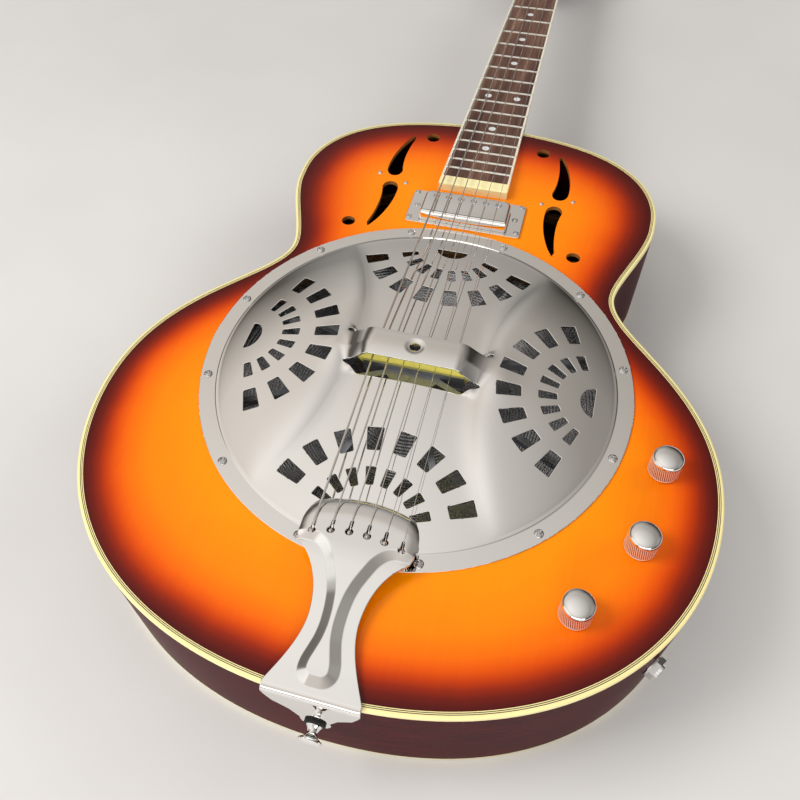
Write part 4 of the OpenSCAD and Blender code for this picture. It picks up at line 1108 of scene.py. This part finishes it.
PAINT = {
    "plywood": "soundwell neck_block tail_block",
    "spruce": "linings braces",
    "casting": "spider_bridge",
    "steel": "tension_screw pickup_magnet pickup_baseplate control_pots control_nuts truss_rod tuner_screws",
    "black": "pickup_coils",
    "rubber": "wiring",
    "rosewood": "fingerboard",
    "white": "fingerboard_binding",
    "ivory": "fingerboard_end_cap",
    "cream": "nut",
    "fret": "frets",
    "pearl": "position_dots",
    "maple": "bridge_saddle",
    "chrome": "tuner_housings tuner_bushings f_hole_studs output_jack",
}
for key, nodes in PAINT.items():
    for n in nodes.split():
        NODES[n].data.materials.clear()
        NODES[n].data.materials.append(M[key])

# CAD nodes whose shape is right get a small rounding on their edges, or smooth shading
for n in ("bridge_saddle", "spider_bridge", "fingerboard_binding", "fingerboard_end_cap", "nut",
          "tuner_housings", "output_jack"):
    smooth_shaded(NODES[n].data)
    mod = NODES[n].modifiers.new("edge", "BEVEL")
    mod.width, mod.segments, mod.limit_method = 0.4 * MM, 2, "ANGLE"
    mod.angle_limit = radians(40)
    mod.harden_normals = True
for n in ("frets", "position_dots", "tuner_bushings", "f_hole_studs", "control_pots", "tuner_screws"):
    smooth_shaded(NODES[n].data)
    NODES[n].data.set_sharp_from_angle(angle=radians(35))

# ---------------------------------------------------------------- stage

floor_mat = Shader("pale_floor")
floor_tone = floor_mat.ramp(floor_mat.noise(3, 3), [(0.3, (0.62, 0.61, 0.6)), (0.7, (0.68, 0.67, 0.66))])
floor_mat.set(Base_Color=floor_tone, Roughness=0.75)
me = bpy.data.meshes.new("floor")
bm = bmesh.new()
bmesh.ops.create_grid(bm, x_segments=1, y_segments=1, size=6)
bm.to_mesh(me)
bm.free()
floor = bpy.data.objects.new("floor", me)
floor.location = (0, 0, -0.0006)
me.materials.append(floor_mat.m)
scene.collection.objects.link(floor)

world = bpy.data.worlds.new("studio")
scene.world = world
world.use_nodes = True
sky = Nodes(world.node_tree, "Generated")


def toward(direction):
    """How nearly a ray points along a direction, from -1 to 1."""
    n = sky.node("ShaderNodeVectorMath", {0: sky.coord, 1: direction}, operation="DOT_PRODUCT")
    return n.outputs["Value"]


def blend(fac, under, over):
    return sky.node("ShaderNodeMixRGB", {0: fac, 1: under, 2: (*over, 1)}).outputs[0]


# brightness and warmth by height, where half way up is the horizon; the chrome mirrors mostly the upper part
heights = [(0.0, 0.22, 0.9), (0.1, 0.08, 0.8), (0.28, 0.08, 0.8), (0.44, 0.3, 0.84), (0.6, 0.54, 0.86),
           (0.76, 0.6, 0.86), (0.88, 0.74, 0.91), (1.0, 0.86, 0.93)]
colour = sky.ramp(sky.axis(2), [(z, (v, v * (1 + warm) / 2, v * warm)) for z, v, warm in heights])
# soft windows as (direction, how narrow, how bright)
for direction, narrow, glow in (((-0.8, -0.5, 0.34), 0.84, 0.6), ((0.93, 0.15, 0.34), 0.88, 0.3),
                                ((-0.2, 0.93, 0.3), 0.9, 0.2)):
    window = sky.span(toward(Vector(direction).normalized()), 0.0, glow, narrow, narrow + 0.09, "SMOOTHSTEP")
    colour = blend(window, colour, (1.0, 0.99, 0.97))
seen = sky.node("ShaderNodeLightPath").outputs["Is Camera Ray"]
background = sky.t.nodes["Background"]
sky.put(background.inputs[0], blend(seen, colour, (0.6, 0.59, 0.58)))
sky.put(background.inputs[1], sky.span(toward((-0.97, -0.25, 0.0)), 0.52, 1.26, -0.6, 0.5))


def light(name, at, size, power, colour=(1, 1, 1), mirrored_in_chrome=False):
    """A soft area light in metres and watts, aimed at the guitar's middle."""
    data = bpy.data.lights.new(name, "AREA")
    data.shape, data.size, data.size_y = "RECTANGLE", size[0], size[1]
    data.energy, data.color = power, colour
    ob = bpy.data.objects.new(name, data)
    ob.location = at
    ob.rotation_euler = (Vector((0, 0, 0.1)) - Vector(at)).to_track_quat("-Z", "Y").to_euler()
    ob.visible_glossy = mirrored_in_chrome
    scene.collection.objects.link(ob)


light("key", (-1.3, -0.5, 1.6), (0.9, 0.9), 24, (1, 0.985, 0.96))
light("low", (0.4, -1.9, 0.8), (2.4, 0.9), 12, mirrored_in_chrome=True)
light("front", (0.1, -1.5, 0.45), (0.7, 0.4), 7)
light("fill", (1.4, 0.8, 1.3), (0.9, 0.9), 8)

# the photo's viewpoint: 0.39 m above the top, over the tail, tilted a little
cam_data = bpy.data.cameras.new("camera")
cam_data.lens, cam_data.sensor_width = 35.35, 36.0
cam_data.shift_x, cam_data.shift_y = 0.0188, 0.0009
cam_data.clip_start = 0.01
cam = bpy.data.objects.new("camera", cam_data)
view_up = Vector((-0.1999, 0.7764, 0.5978))
back = -Vector((-0.1747, 0.5721, -0.8014)).normalized()
right = view_up.cross(back).normalized()
rot = Matrix((right, back.cross(right), back)).transposed()
cam.matrix_world = Matrix.Translation((0.076, -0.319, 0.409 + TOP * MM)) @ rot.to_4x4()
scene.collection.objects.link(cam)
bpy.context.scene.camera = cam
scene.view_settings.view_transform = "Standard"
